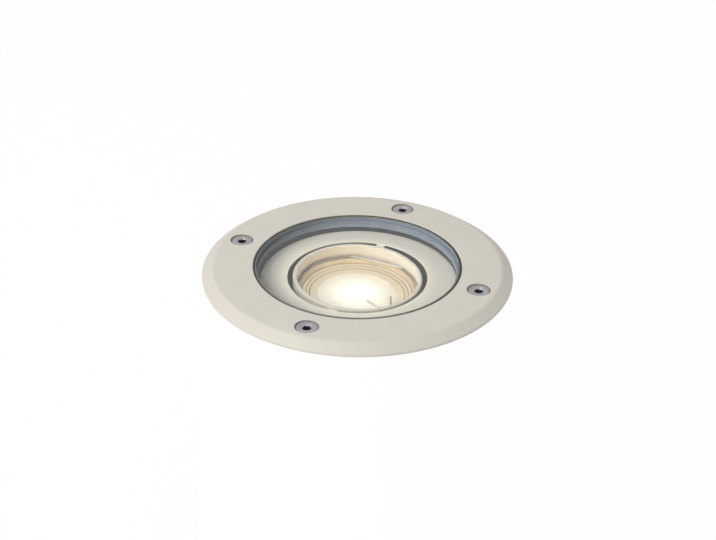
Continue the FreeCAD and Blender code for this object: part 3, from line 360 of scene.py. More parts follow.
# ---- node trees ----
class NodeBoard:
    """Adds nodes to one tree and links them."""

    def __init__(self, tree: Tree) -> None:
        """Keeps the tree.

        Args:
            tree: The material's or the group's node tree.
        """
        self.tree = tree

    def add(self, kind: str, **settings: object) -> Node:
        """Adds one node.

        Args:
            kind: The node's type name.
            **settings: Properties to set on it.

        Returns:
            The node.
        """
        node = self.tree.nodes.new(kind)
        for key, value in settings.items():
            setattr(node, key, value)
        return node

    def feed(self, socket: Socket, value: object) -> None:
        """Links an output to an input, or sets the input's own value.

        Args:
            socket: The input.
            value: An output socket, a number or a colour.
        """
        if isinstance(value, Socket):
            self.tree.links.new(value, socket)
        elif isinstance(value, tuple) and len(value) == 3 and socket.type == "RGBA":
            socket.default_value = (*value, 1.0)
        else:
            socket.default_value = value

    def math(self, operation: str, first: object, second: object = 0.0) -> Socket:
        """Adds a Math node.

        Args:
            operation: The sum to do.
            first: An output socket or a number.
            second: An output socket or a number.

        Returns:
            The result.
        """
        node = self.add("ShaderNodeMath", operation=operation)
        self.feed(node.inputs[0], first)
        self.feed(node.inputs[1], second)
        return node.outputs[0]

    def times(self, first: object, second: object) -> Socket:
        """The product of two values."""
        return self.math("MULTIPLY", first, second)

    def inverse(self, share: object) -> Socket:
        """One less a share."""
        return self.math("SUBTRACT", 1.0, share)

    def noise(self, vector: Socket, scale: object, detail: float = 3.0) -> Socket:
        """Adds a Noise node.

        Args:
            vector: The coordinates.
            scale: How many patches in a metre.
            detail: How many finer layers.

        Returns:
            The noise, about 0.5 in the mean.
        """
        node = self.add("ShaderNodeTexNoise")
        self.feed(node.inputs["Vector"], vector)
        self.feed(node.inputs["Scale"], scale)
        node.inputs["Detail"].default_value = detail
        return node.outputs["Fac"]

    def span(self, value: object, low: object, high: object) -> Socket:
        """Maps a range of values to 0..1 and clamps it.

        Args:
            value: The value to map.
            low: What becomes 0.
            high: What becomes 1.

        Returns:
            The share.
        """
        node = self.add("ShaderNodeMapRange", clamp=True)
        self.feed(node.inputs["Value"], value)
        self.feed(node.inputs["From Min"], low)
        self.feed(node.inputs["From Max"], high)
        return node.outputs["Result"]

    def blend(self, share: object, first: object, second: object) -> Socket:
        """Adds a colour Mix node.

        Args:
            share: The second colour's share.
            first: An output socket or a colour.
            second: An output socket or a colour.

        Returns:
            The colour.
        """
        node = self.add("ShaderNodeMix", data_type="RGBA")
        self.feed(node.inputs["Factor"], share)
        self.feed(node.inputs[6], first)
        self.feed(node.inputs[7], second)
        return node.outputs[2]

    def parts(self, vector: Socket) -> bpy.types.NodeOutputs:
        """Splits a vector.

        Args:
            vector: The vector.

        Returns:
            The outputs X, Y and Z.
        """
        node = self.add("ShaderNodeSeparateXYZ")
        self.feed(node.inputs[0], vector)
        return node.outputs

    def radius(self, vector: Socket) -> Socket:
        """How far a point lies from the light's axis.

        Args:
            vector: The coordinates.

        Returns:
            The distance in metres.
        """
        parts = self.parts(vector)
        squares = self.math("ADD", self.math("POWER", parts[0], 2.0), self.math("POWER", parts[1], 2.0))
        return self.math("SQRT", squares)

    def level(self, vector: Socket) -> Socket:
        """Height of a point."""
        return self.parts(vector)[2]

    def finish_with(self, output: Node, share: object, first: Node, second: Node) -> None:
        """Mixes two shaders into the tree's output.

        Args:
            output: The tree's output node.
            share: The second shader's share.
            first: The first shader node.
            second: The second shader node.
        """
        mix = self.add("ShaderNodeMixShader")
        self.feed(mix.inputs[0], share)
        self.feed(mix.inputs[1], first.outputs[0])
        self.feed(mix.inputs[2], second.outputs[0])
        self.feed(output.inputs["Surface"], mix.outputs[0])


class GroupBoard(NodeBoard):
    """The board of a node group that several finishes share."""

    def __init__(self, name: str, **inputs: object) -> None:
        """Opens the group.

        Args:
            name: The effect's name.
            **inputs: The usual value of each input besides the coordinates.
        """
        super().__init__(bpy.data.node_groups.new(name, "ShaderNodeTree"))
        self.socket("Vector", "INPUT", "Vector")
        for label, value in inputs.items():
            kind = "Float" if isinstance(value, float) else "Color"
            self.socket(label, "INPUT", kind).default_value = value
        self.given = self.add("NodeGroupInput").outputs
        self.place = self.given["Vector"]

    def socket(self, label: str, way: str, kind: str) -> bpy.types.NodeTreeInterfaceSocket:
        """Adds an input or an output to the group."""
        return self.tree.interface.new_socket(name=label, in_out=way, socket_type="NodeSocket" + kind)

    def close(self, **outputs: Socket) -> Tree:
        """Adds the group's outputs.

        Args:
            **outputs: What each output gives.

        Returns:
            The finished group.
        """
        for label in outputs:
            self.socket(label, "OUTPUT", "Color" if label == "Color" else "Float")
        out = self.add("NodeGroupOutput")
        for label, value in outputs.items():
            self.feed(out.inputs[label], value)
        return self.tree


def tone_drift() -> Tree:
    """Slow change between two tones over a surface.

    Returns:
        The group.
    """
    board = GroupBoard("tone_drift", Scale=60.0, First=(1, 1, 1, 1), Second=(0.5, 0.5, 0.5, 1))
    share = board.span(board.noise(board.place, board.given["Scale"], 4.0), 0.34, 0.66)
    return board.close(Color=board.blend(share, board.given["First"], board.given["Second"]))


def skin() -> Tree:
    """A fine two-scale bump, such as orange peel, cast skin or moulded grain.

    Returns:
        The group.
    """
    board = GroupBoard("skin", Scale=900.0, Coarse=0.4)
    fine = board.noise(board.place, board.given["Scale"], 2.0)
    wide = board.noise(board.place, board.times(board.given["Scale"], 0.22), 2.0)
    return board.close(Height=board.math("ADD", fine, board.times(wide, board.given["Coarse"])))


def turning_marks() -> Tree:
    """Concentric tool lines about the light's axis, uneven in depth.

    Returns:
        The group.
    """
    board = GroupBoard("turning_marks", Pitch=0.0004)
    along = board.math("ADD", board.radius(board.place), board.level(board.place))
    phase = board.math("DIVIDE", along, board.given["Pitch"])
    wave = board.math("SINE", board.times(phase, 2 * math.pi))
    stripes = board.add("ShaderNodeTexNoise", noise_dimensions="1D")
    board.feed(stripes.inputs["W"], board.times(phase, 0.37))
    lines = stripes.outputs["Fac"]
    height = board.times(wave, board.noise(board.place, 160.0, 2.0))
    return board.close(Height=board.math("ADD", height, lines), Mask=board.span(lines, 0.4, 0.62))


def rubbed_edges() -> Tree:
    """A mask of edges that hands and shoes rub.

    Returns:
        The group.
    """
    board = GroupBoard("rubbed_edges", Reach=0.03)
    flat = 0.505
    pointed = board.add("ShaderNodeNewGeometry").outputs["Pointiness"]
    crest = board.span(pointed, flat, board.math("ADD", board.given["Reach"], flat))
    breaks = board.span(board.noise(board.place, 420.0, 4.0), 0.42, 0.62)
    return board.close(Mask=board.times(crest, breaks))


def scratches() -> Tree:
    """A mask of fine hairlines in two directions.

    Returns:
        The group.
    """
    board = GroupBoard("scratches", Scale=90.0)
    masks = []
    for turn in (0.5, 2.2):
        mapping = board.add("ShaderNodeMapping")
        board.feed(mapping.inputs["Rotation"], (0.0, 0.0, turn))
        board.feed(mapping.inputs["Scale"], (1.0, 26.0, 1.0))
        board.feed(mapping.inputs["Vector"], board.place)
        lines = board.noise(mapping.outputs[0], board.given["Scale"], 1.0)
        masks.append(board.span(lines, 0.66, 0.72))
    return board.close(Mask=board.math("MAXIMUM", *masks))


def ground_dirt() -> Tree:
    """A mask of soil that is thick at the foot and thins out upward.

    Returns:
        The group.
    """
    board = GroupBoard("ground_dirt", Top=0.05)
    fade = board.inverse(board.span(board.level(board.place), 0.0, board.given["Top"]))
    patches = board.span(board.noise(board.place, 130.0, 6.0), 0.42, 0.66)
    return board.close(Mask=board.times(fade, patches))


EFFECTS: dict[str, Tree] = {
    build.__name__: build()
    for build in (tone_drift, skin, turning_marks, rubbed_edges, scratches, ground_dirt)}


class PaintBoard(NodeBoard):
    """The board of one finish's material, with its shader and the Object coordinates."""

    def __init__(self, tree: Tree, finish: "Finish") -> None:
        """Starts from the tree's own shader.

        Args:
            tree: The material's node tree.
            finish: The finish that is painted.
        """
        super().__init__(tree)
        self.finish = finish
        self.shader = tree.nodes["Principled BSDF"]
        self.output = tree.nodes["Material Output"]
        self.place = self.add("ShaderNodeTexCoord").outputs["Object"]
        self.surface(Roughness=finish.roughness)

    def surface(self, **values: object) -> None:
        """Feeds the shader.

        Args:
            **values: Its inputs, with spaces in their names written as underscores.
        """
        for key, value in values.items():
            self.feed(self.shader.inputs[key.replace("_", " ")], value)

    def effect(self, name: str, **values: object) -> Node:
        """Places a shared group at the board's coordinates.

        Args:
            name: The group's name.
            **values: Its other inputs.

        Returns:
            The group node.
        """
        node = self.add("ShaderNodeGroup", node_tree=EFFECTS[name])
        self.feed(node.inputs["Vector"], self.place)
        for key, value in values.items():
            self.feed(node.inputs[key], value)
        return node

    def mask(self, name: str, **values: object) -> Socket:
        """The mask of a shared group."""
        return self.effect(name, **values).outputs["Mask"]

    def tone(self, scale: float) -> Socket:
        """The finish's two colours in slow drift, in so many patches a metre."""
        drift = self.effect("tone_drift", Scale=scale, First=self.finish.colour, Second=self.finish.second)
        return drift.outputs["Color"]

    def patches(self, scale: float, detail: float, low: float, high: float) -> Socket:
        """A mask of patches.

        Args:
            scale: How many patches in a metre.
            detail: How many finer layers.
            low: The noise that becomes 0.
            high: The noise that becomes 1.

        Returns:
            The mask.
        """
        return self.span(self.noise(self.place, scale, detail), low, high)

    def stain(self, tone: Socket, mask: object, strength: float, colour: object) -> Socket:
        """Lays a colour over a tone.

        Args:
            tone: The tone below.
            mask: Where the colour lies.
            strength: Its share where the mask is 1.
            colour: An output socket or a colour.

        Returns:
            The new tone.
        """
        return self.blend(self.times(mask, strength), tone, colour)

    def uneven_gloss(self, scale: float, detail: float, spread: float) -> Socket:
        """The finish's roughness, varied evenly to both sides.

        Args:
            scale: How many patches in a metre.
            detail: How many finer layers.
            spread: The range from the smoothest spot to the roughest.

        Returns:
            The roughness.
        """
        drift = self.times(self.noise(self.place, scale, detail), spread)
        return self.math("ADD", drift, self.finish.roughness - spread / 2)

    def raise_skin(self, height: Socket, distance: float) -> None:
        """Feeds a height through a Bump node into the shader's normal.

        Args:
            height: The relief.
            distance: Its real height in metres.
        """
        bump = self.add("ShaderNodeBump")
        bump.inputs["Strength"].default_value = self.finish.bump
        bump.inputs["Distance"].default_value = distance
        self.feed(bump.inputs["Height"], height)
        self.surface(Normal=bump.outputs["Normal"])

    def grain(self, coarse: float, distance: float) -> None:
        """Gives the shader the finish's fine skin.

        Args:
            coarse: The wider relief's share.
            distance: The relief's real height in metres.
        """
        skin = self.effect("skin", Scale=self.finish.grain, Coarse=coarse)
        self.raise_skin(skin.outputs["Height"], distance)


@dataclass(frozen=True)
class Finish:
    """A surface finish: its colours, gloss and the size of its texture."""

    name: str
    colour: Colour
    second: Colour
    roughness: float
    grain: float = 900.0
    bump: float = 0.1

    def material(self) -> Material:
        """Builds the material.

        Returns:
            The material.
        """
        material = bpy.data.materials.new(self.name)
        material.use_nodes = True
        self.paint(PaintBoard(material.node_tree, self))
        return material

    def paint(self, board: PaintBoard) -> None:
        """Adds the nodes of one kind of finish, which each kind does in its own way."""
        raise NotImplementedError


@dataclass(frozen=True)
class PowderCoat(Finish):
    """Satin polyester powder over metal, with orange peel, rubbed edges and painted shade in the screw
    holes.

    The glow is painted light: the lit lamp's warm light on the lip that stands next to it, painted into the
    coat as an emission.
    """

    painted_shade_level: float = 0.13455
    painted_shade_radii: tuple[float, float] = (0.0445, 0.0604)
    painted_shade_share: float = 0.62
    painted_shade_colour: Colour = (0.06, 0.055, 0.05)
    speck_colour: Colour = (0.3, 0.28, 0.24)
    rubbed_colour: Colour = (0.74, 0.71, 0.65)
    glow: float = 0.0
    painted_glow_radii: tuple[float, float] = (0.0294, 0.0345)
    painted_glow_colour: Colour = (1.0, 0.86, 0.52)

    def paint(self, board: PaintBoard) -> None:
        """Adds the coat's nodes.

        Args:
            board: The material's board.
        """
        rubbed = board.mask("rubbed_edges", Reach=0.05)
        tone = board.stain(board.tone(45.0), board.patches(2600.0, 1.0, 0.68, 0.74), 0.1, self.speck_colour)
        tone = board.stain(tone, rubbed, 0.35, self.rubbed_colour)
        radius = board.radius(board.place)
        # Painted shade: the walls of the screw holes, below the top, are darkened where shade falls.
        low = board.inverse(board.span(board.level(board.place), self.painted_shade_level, self.painted_shade_level + 0.0004))
        inner, outer = self.painted_shade_radii
        beyond = board.span(radius, inner, inner + 0.0005)
        within = board.inverse(board.span(radius, outer - 0.0004, outer))
        dirt_and_painted_shade = board.times(low, board.times(beyond, within))
        tone = board.stain(tone, dirt_and_painted_shade, self.painted_shade_share, self.painted_shade_colour)
        gloss = board.uneven_gloss(scale=300.0, detail=2.0, spread=0.12)
        board.surface(Base_Color=tone, Specular_IOR_Level=0.4,
                      Roughness=board.math("SUBTRACT", gloss, board.times(rubbed, 0.12)))
        board.grain(coarse=0.6, distance=0.0002)
        # Painted light: a warm emission round the hole stands for the lamp's light on the lip.
        if self.glow > 0:
            fade = board.inverse(board.span(radius, *self.painted_glow_radii))
            glow = board.blend(fade, (0.0, 0.0, 0.0), self.painted_glow_colour)
            board.surface(Emission_Color=glow, Emission_Strength=self.glow)


@dataclass(frozen=True)
class CastMetal(Finish):
    """Bare pressure-cast metal: a pebbled skin and dull oxide patches."""

    metal: float = 0.85
    oxide_colour: Colour = (0.2, 0.2, 0.2)

    def paint(self, board: PaintBoard) -> None:
        """Adds the metal's nodes.

        Args:
            board: The material's board.
        """
        oxide = board.patches(240.0, 6.0, 0.5, 0.72)
        board.surface(Base_Color=board.stain(board.tone(70.0), oxide, 0.4, self.oxide_colour),
                      Roughness=board.math("ADD", board.times(oxide, 0.2), self.roughness),
                      Metallic=self.metal)
        board.grain(coarse=0.8, distance=0.0003)


@dataclass(frozen=True)
class TurnedMetal(Finish):
    """Machined metal: tool lines about the axis and hairlines.

    A piece with its own axis, which is a screw, has painted shade in its socket and at its head's edge. The
    shade darkens the side towards -X, to match the photograph's shaded wall, and stays there under any
    light.
    """

    pitch: float = 0.0004
    metal: float = 1.0
    own_axis: bool = False
    head_edge: tuple[float, float] = (0.0041, 0.0045)
    edge_shade_colour: Colour = (0.14, 0.13, 0.13)
    socket_levels: tuple[float, float] = (0.1338, 0.1341)
    socket_shade_colour: Colour = (0.1, 0.095, 0.1)
    shade: float = 0.0
    shade_ends: tuple[float, float] = (-0.046, -0.012)
    shade_colour: Colour = (0.05, 0.055, 0.065)
    hair_colour: Colour = (0.78, 0.78, 0.78)

    def paint(self, board: PaintBoard) -> None:
        """Adds the metal's nodes.

        Args:
            board: The material's board.
        """
        if self.own_axis:
            board.place = board.add("ShaderNodeAttribute", attribute_name="own_place").outputs["Vector"]
        marks = board.effect("turning_marks", Pitch=self.pitch).outputs
        tone = board.stain(board.tone(110.0), marks["Mask"], 0.25, self.second)
        tone = board.stain(tone, board.mask("scratches", Scale=260.0), 0.3, self.hair_colour)
        if self.own_axis:
            # Painted shade: the rim of the head and the floor of the socket are darkened where shade falls.
            edge = board.span(board.radius(board.place), *self.head_edge)
            tone = board.stain(tone, edge, 0.7, self.edge_shade_colour)
            deep = board.inverse(board.span(board.level(board.place), *self.socket_levels))
            tone = board.stain(tone, deep, 0.85, self.socket_shade_colour)
        if self.shade > 0:
            fade = board.inverse(board.span(board.parts(board.place)[0], *self.shade_ends))
            tone = board.stain(tone, fade, self.shade, self.shade_colour)
        gloss = board.uneven_gloss(scale=500.0, detail=3.0, spread=0.2)
        board.surface(Base_Color=tone, Metallic=self.metal, Roughness=gloss)
        board.raise_skin(marks["Height"], distance=0.00005)


@dataclass(frozen=True)
class MouldedPlastic(Finish):
    """Moulded plastic with a fine grain, scuffs and soil towards the foot."""

    dirt_top: float = 0.0
    dirt_and_painted_shade: Colour = (0.16, 0.12, 0.08)
    level: float = 0.5

    def paint(self, board: PaintBoard) -> None:
        """Adds the plastic's nodes.

        Args:
            board: The material's board.
        """
        light = tuple(min(1.0, 1.6 * part + 0.02) for part in self.colour)
        tone = board.stain(board.tone(50.0), board.mask("scratches", Scale=70.0), 0.3, light)
        gloss = board.uneven_gloss(scale=350.0, detail=3.0, spread=0.16)
        if self.dirt_top > 0:
            soil = board.mask("ground_dirt", Top=self.dirt_top)
            tone = board.stain(tone, soil, 0.7, self.dirt_and_painted_shade)
            gloss = board.math("ADD", gloss, board.times(soil, 0.3))
        board.surface(Base_Color=tone, Roughness=gloss, Specular_IOR_Level=self.level)
        board.grain(coarse=0.3, distance=0.0001)


@dataclass(frozen=True)
class Ceramic(Finish):
    """Unglazed ceramic with pores and brown firing specks."""

    speck_colour: Colour = (0.35, 0.27, 0.18)

    def paint(self, board: PaintBoard) -> None:
        """Adds the ceramic's nodes.

        Args:
            board: The material's board.
        """
        specks = board.patches(1500.0, 2.0, 0.67, 0.72)
        board.surface(Base_Color=board.stain(board.tone(120.0), specks, 0.5, self.speck_colour),
                      Subsurface_Weight=0.05, Subsurface_Scale=0.001)
        board.grain(coarse=0.5, distance=0.0001)


@dataclass(frozen=True)
class Sleeving(Finish):
    """Woven glass-fibre sleeving over a heat-resistant lead."""

    gap_colour: Colour = (0.3, 0.28, 0.24)

    def paint(self, board: PaintBoard) -> None:
        """Adds the sleeving's nodes.

        Args:
            board: The material's board.
        """
        weave = board.add("ShaderNodeTexVoronoi", feature="F1")
        board.feed(weave.inputs["Vector"], board.place)
        board.feed(weave.inputs["Scale"], self.grain)
        gaps = board.span(weave.outputs["Distance"], 0.3, 0.7)
        tone = board.stain(board.tone(200.0), gaps, 0.45, self.gap_colour)
        board.surface(Base_Color=tone, Sheen_Weight=0.3)
        board.raise_skin(board.inverse(gaps), distance=0.0001)


@dataclass(frozen=True)
class ClearGlass(Finish):
    """Toughened glass, clear to shadow rays, so that light reaches what lies below."""

    level: float = 0.3

    def paint(self, board: PaintBoard) -> None:
        """Adds the glass's nodes.

        Args:
            board: The material's board.
        """
        film = board.times(board.patches(55.0, 5.0, 0.5, 0.8), 0.015)
        hairs = board.times(board.mask("scratches", Scale=45.0), 0.02)
        board.surface(Base_Color=board.tone(30.0), Roughness=board.math("ADD", film, hairs),
                      Transmission_Weight=1.0, IOR=1.52, Specular_IOR_Level=self.level)
        clear = board.add("ShaderNodeBsdfTransparent")
        board.feed(clear.inputs["Color"], self.colour)
        path = board.add("ShaderNodeLightPath")
        board.finish_with(board.output, path.outputs["Is Shadow Ray"], board.shader, clear)


@dataclass(frozen=True)
class GroundEdge(Finish):
    """The window's ground edge: olive under its top, with the bare metal behind it showing lower down."""

    behind: Colour = (0.2, 0.24, 0.31)
    border: float = 0.1318

    def paint(self, board: PaintBoard) -> None:
        """Adds the edge's nodes.

        Args:
            board: The material's board.
        """
        fade = board.span(board.level(board.place), self.border - 0.0006, self.border + 0.0006)
        board.surface(Base_Color=board.blend(fade, self.behind, board.tone(90.0)))
        board.grain(coarse=0.4, distance=0.0001)


@dataclass(frozen=True)
class LitGlass(Finish):
    """Pressed lamp glass that glows: overexposed in its middle and golden towards its border."""

    strength: float = 1.0
    glow: tuple[tuple[float, Colour], ...] = ((0.0, (1.0, 0.97, 0.9)),)
    reach: float = 0.025
    seam_colour: Colour = (0.5, 0.42, 0.3)

    def paint(self, board: PaintBoard) -> None:
        """Adds the glass's nodes.

        Args:
            board: The material's board.
        """
        ramp = board.add("ShaderNodeValToRGB")
        stops = ramp.color_ramp.elements
        while len(stops) < len(self.glow):
            stops.new(0.5)
        while len(stops) > len(self.glow):
            stops.remove(stops[-1])
        for stop, (radius, colour) in zip(stops, self.glow):
            stop.position = radius / self.reach
            stop.color = (*colour, 1.0)
        board.feed(ramp.inputs["Fac"], board.math("DIVIDE", board.radius(board.place), self.reach))
        facets = board.add("ShaderNodeTexVoronoi", feature="DISTANCE_TO_EDGE")
        board.feed(facets.inputs["Vector"], board.place)
        board.feed(facets.inputs["Scale"], self.grain)
        cells = board.span(facets.outputs["Distance"], 0.0, 0.16)
        glow = board.stain(ramp.outputs["Color"], board.inverse(cells), 0.07, self.seam_colour)
        glow = board.stain(glow, board.patches(240.0, 3.0, 0.35, 0.7), 0.12, self.second)
        board.surface(Base_Color=board.tone(260.0), Emission_Color=glow,
                      Emission_Strength=self.strength, IOR=1.5)
        board.raise_skin(cells, distance=0.0002)


@dataclass(frozen=True)
class CoatedBowl(Finish):
    """A glass bowl with a thin colour-splitting coat, and painted light: a gold emission for the burner's
    glow on it.
    """

    strength: float = 0.15
    side_colour: Colour = (0.62, 0.46, 0.5)

    def paint(self, board: PaintBoard) -> None:
        """Adds the bowl's nodes.

        Args:
            board: The material's board.
        """
        facing = board.add("ShaderNodeLayerWeight")
        board.feed(facing.inputs["Blend"], 0.35)
        drift = board.tone(140.0)
        # Painted light: the emission in the coat's own tone stands for the burner's glow on the bowl.
        board.surface(Base_Color=board.blend(facing.outputs["Facing"], drift, self.side_colour),
                      Metallic=0.6, Coat_Weight=0.6, Coat_Roughness=0.05,
                      Emission_Color=drift, Emission_Strength=self.strength)
        board.grain(coarse=0.4, distance=0.0001)


@dataclass(frozen=True)
class PaleGround(Finish):
    """The studio's ground: white to the camera, with a soft trace of the object's shadow."""

    white_share: float = 0.965

    def paint(self, board: PaintBoard) -> None:
        """Adds the ground's nodes.

        Args:
            board: The material's board.
        """
        drift = board.patches(20.0, 3.0, 0.3, 0.7)
        board.surface(Base_Color=board.blend(drift, self.colour, self.second))
        glow = board.add("ShaderNodeEmission")
        path = board.add("ShaderNodeLightPath").outputs
        seen = board.math("MAXIMUM", path["Is Camera Ray"], path["Is Glossy Ray"])
        seen = board.math("MAXIMUM", seen, path["Is Transmission Ray"])
        board.finish_with(board.output, board.times(seen, self.white_share), board.shader, glow)


LENS_GLOW: tuple[tuple[float, Colour], ...] = (
    (0.0, (1.0, 0.98, 0.93)), (0.0085, (0.86, 0.85, 0.8)),        # overexposed middle
    (0.0125, (0.68, 0.67, 0.62)), (0.0162, (0.64, 0.61, 0.53)),
    (0.0174, (0.49, 0.43, 0.33)), (0.0198, (0.44, 0.39, 0.29)),   # border
    (0.0200, (0.14, 0.1, 0.05)), (0.0204, (0.14, 0.1, 0.05)),     # inner groove
    (0.0206, (0.5, 0.44, 0.32)), (0.0213, (0.5, 0.44, 0.32)),
    (0.0214, (0.12, 0.09, 0.05)), (0.0218, (0.12, 0.09, 0.05)),   # outer groove
    (0.0219, (0.46, 0.4, 0.28)), (0.0229, (0.46, 0.4, 0.28)),
    (0.0231, (0.08, 0.06, 0.03)))

FINISHES: dict[Slot, Finish] = {
    Slot.CREAM_COAT: PowderCoat("cream_powder_coat", (0.655, 0.625, 0.548), (0.64, 0.608, 0.53),
                                roughness=0.5, grain=1500.0, bump=0.16),
    Slot.BARE_ALUMINIUM: CastMetal("cast_aluminium", (0.34, 0.36, 0.4), (0.27, 0.29, 0.32),
                                   roughness=0.42, grain=1100.0, bump=0.25),
    Slot.STAINLESS: TurnedMetal("stainless_steel", (0.56, 0.56, 0.6), (0.44, 0.44, 0.48),
                                roughness=0.34, grain=700.0, bump=0.3, pitch=0.0003),
    Slot.WINDOW_GLASS: ClearGlass("window_glass", (0.985, 0.99, 0.982), (0.975, 0.985, 0.975),
                                  roughness=0.0, level=0.1),
    Slot.SEAL_RUBBER: MouldedPlastic("seal_rubber", (0.045, 0.05, 0.046), (0.06, 0.064, 0.058),
                                     roughness=0.75, grain=1400.0, bump=0.2),
    Slot.BLACK_NYLON: MouldedPlastic("black_nylon", (0.024, 0.024, 0.026), (0.032, 0.032, 0.034),
                                     roughness=0.45, grain=1300.0, bump=0.15),
    Slot.SLEEVE_PLASTIC: MouldedPlastic("sleeve_plastic", (0.042, 0.044, 0.048), (0.055, 0.056, 0.06),
                                        roughness=0.55, grain=1000.0, bump=0.2, dirt_top=0.07),
    Slot.BOWL_GLASS: CoatedBowl("coated_bowl_glass", (0.8, 0.71, 0.52), (0.7, 0.59, 0.4),
                                roughness=0.2, grain=900.0, bump=0.15, strength=0.04),
    Slot.LENS_GLASS: LitGlass("lit_lens_glass", (0.2, 0.17, 0.12), (0.26, 0.22, 0.15),
                              roughness=0.2, grain=520.0, bump=0.3, glow=LENS_GLOW),
    Slot.CAPSULE_GLASS: LitGlass("lit_capsule_glass", (1.0, 0.9, 0.7), (1.0, 0.94, 0.8),
                                 roughness=0.1, grain=700.0, bump=0.1, strength=3.0),
    Slot.WHITE_CERAMIC: Ceramic("white_ceramic", (0.78, 0.76, 0.7), (0.72, 0.7, 0.63),
                                roughness=0.6, grain=1600.0, bump=0.25),
    Slot.NICKEL: TurnedMetal("nickel_plate", (0.62, 0.6, 0.55), (0.5, 0.48, 0.43),
                             roughness=0.28, grain=800.0, bump=0.15, pitch=0.0002),
    Slot.BRASS: TurnedMetal("brass", (0.7, 0.5, 0.22), (0.55, 0.38, 0.16),
                            roughness=0.32, grain=800.0, bump=0.2, pitch=0.0003),
    Slot.LEAD_SLEEVING: Sleeving("woven_sleeving", (0.74, 0.72, 0.66), (0.68, 0.65, 0.58),
                                 roughness=0.8, grain=1800.0, bump=0.5),
    Slot.BLOCK_PLASTIC: MouldedPlastic("block_plastic", (0.72, 0.7, 0.64), (0.67, 0.65, 0.59),
                                       roughness=0.45, grain=1200.0, bump=0.1),
}
MATERIALS: dict[Slot, Material] = {slot: finish.material() for slot, finish in FINISHES.items()}

SCREW_STEEL = TurnedMetal("screw_steel", (0.64, 0.63, 0.65), (0.52, 0.51, 0.54),
                          roughness=0.55, grain=700.0, bump=0.5, pitch=0.00035,
                          own_axis=True).material()
SPRING_WIRE = TurnedMetal("spring_wire", (0.6, 0.56, 0.48), (0.45, 0.42, 0.36),
                          roughness=0.32, grain=900.0, bump=0.1, pitch=0.0002).material()
CARRIER_METAL = TurnedMetal("carrier_aluminium", (0.316, 0.378, 0.485), (0.27, 0.32, 0.41),
                            roughness=0.5, grain=900.0, bump=0.15, pitch=0.0005,
                            metal=0.7, shade=0.8).material()
# Painted shade: a near-black copy of the seal rubber, for the lip that lies in shade under the carrier.
SHADED_RUBBER = MouldedPlastic("shaded_rubber", (0.012, 0.013, 0.017), (0.016, 0.017, 0.021),
                               roughness=0.92, grain=1400.0, bump=0.2, level=0.15).material()
# The baffle's coat carries painted light: a warm glow round its hole.
PAINTED_GLOW_COAT = PowderCoat("baffle_powder_coat_painted_glow", (0.655, 0.625, 0.548), (0.64, 0.608, 0.53),
                          roughness=0.5, grain=1500.0, bump=0.16, glow=0.14).material()
GROUND_EDGE = GroundEdge("ground_glass_edge", (0.19, 0.205, 0.18), (0.16, 0.175, 0.155),
                         roughness=0.8, grain=1500.0, bump=0.2).material()


def hand_over(piece: Piece, body: Body, slot: Slot, nodes: tuple[str, ...] = (),
              variant: Material | None = None) -> None:
    """Dresses a finished piece, seats it on its body and hides the CAD nodes that it replaces.

    Args:
        piece: The finished piece.
        body: The body that carries it.
        slot: Its material slot.
        nodes: The CAD nodes that it replaces.
        variant: A closer variant of its slot's finish.
    """
    piece.data.materials.clear()
    piece.data.materials.append(variant or MATERIALS[slot])
    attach(piece, body.value)
    if nodes:
        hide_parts(*nodes)
    LOG.info("piece %s on %s, %d faces", piece.name, body.value, len(piece.data.polygons))


def dress_rim(piece: Piece, material: Material) -> None:
    """Gives a piece's upright and rounded faces a material of their own.

    Args:
        piece: The piece, already handed over.
        material: The rim's material.
    """
    piece.data.materials.append(material)
    for face in piece.data.polygons:
        if abs(face.normal.z) < FLAT:
            face.material_index = 1


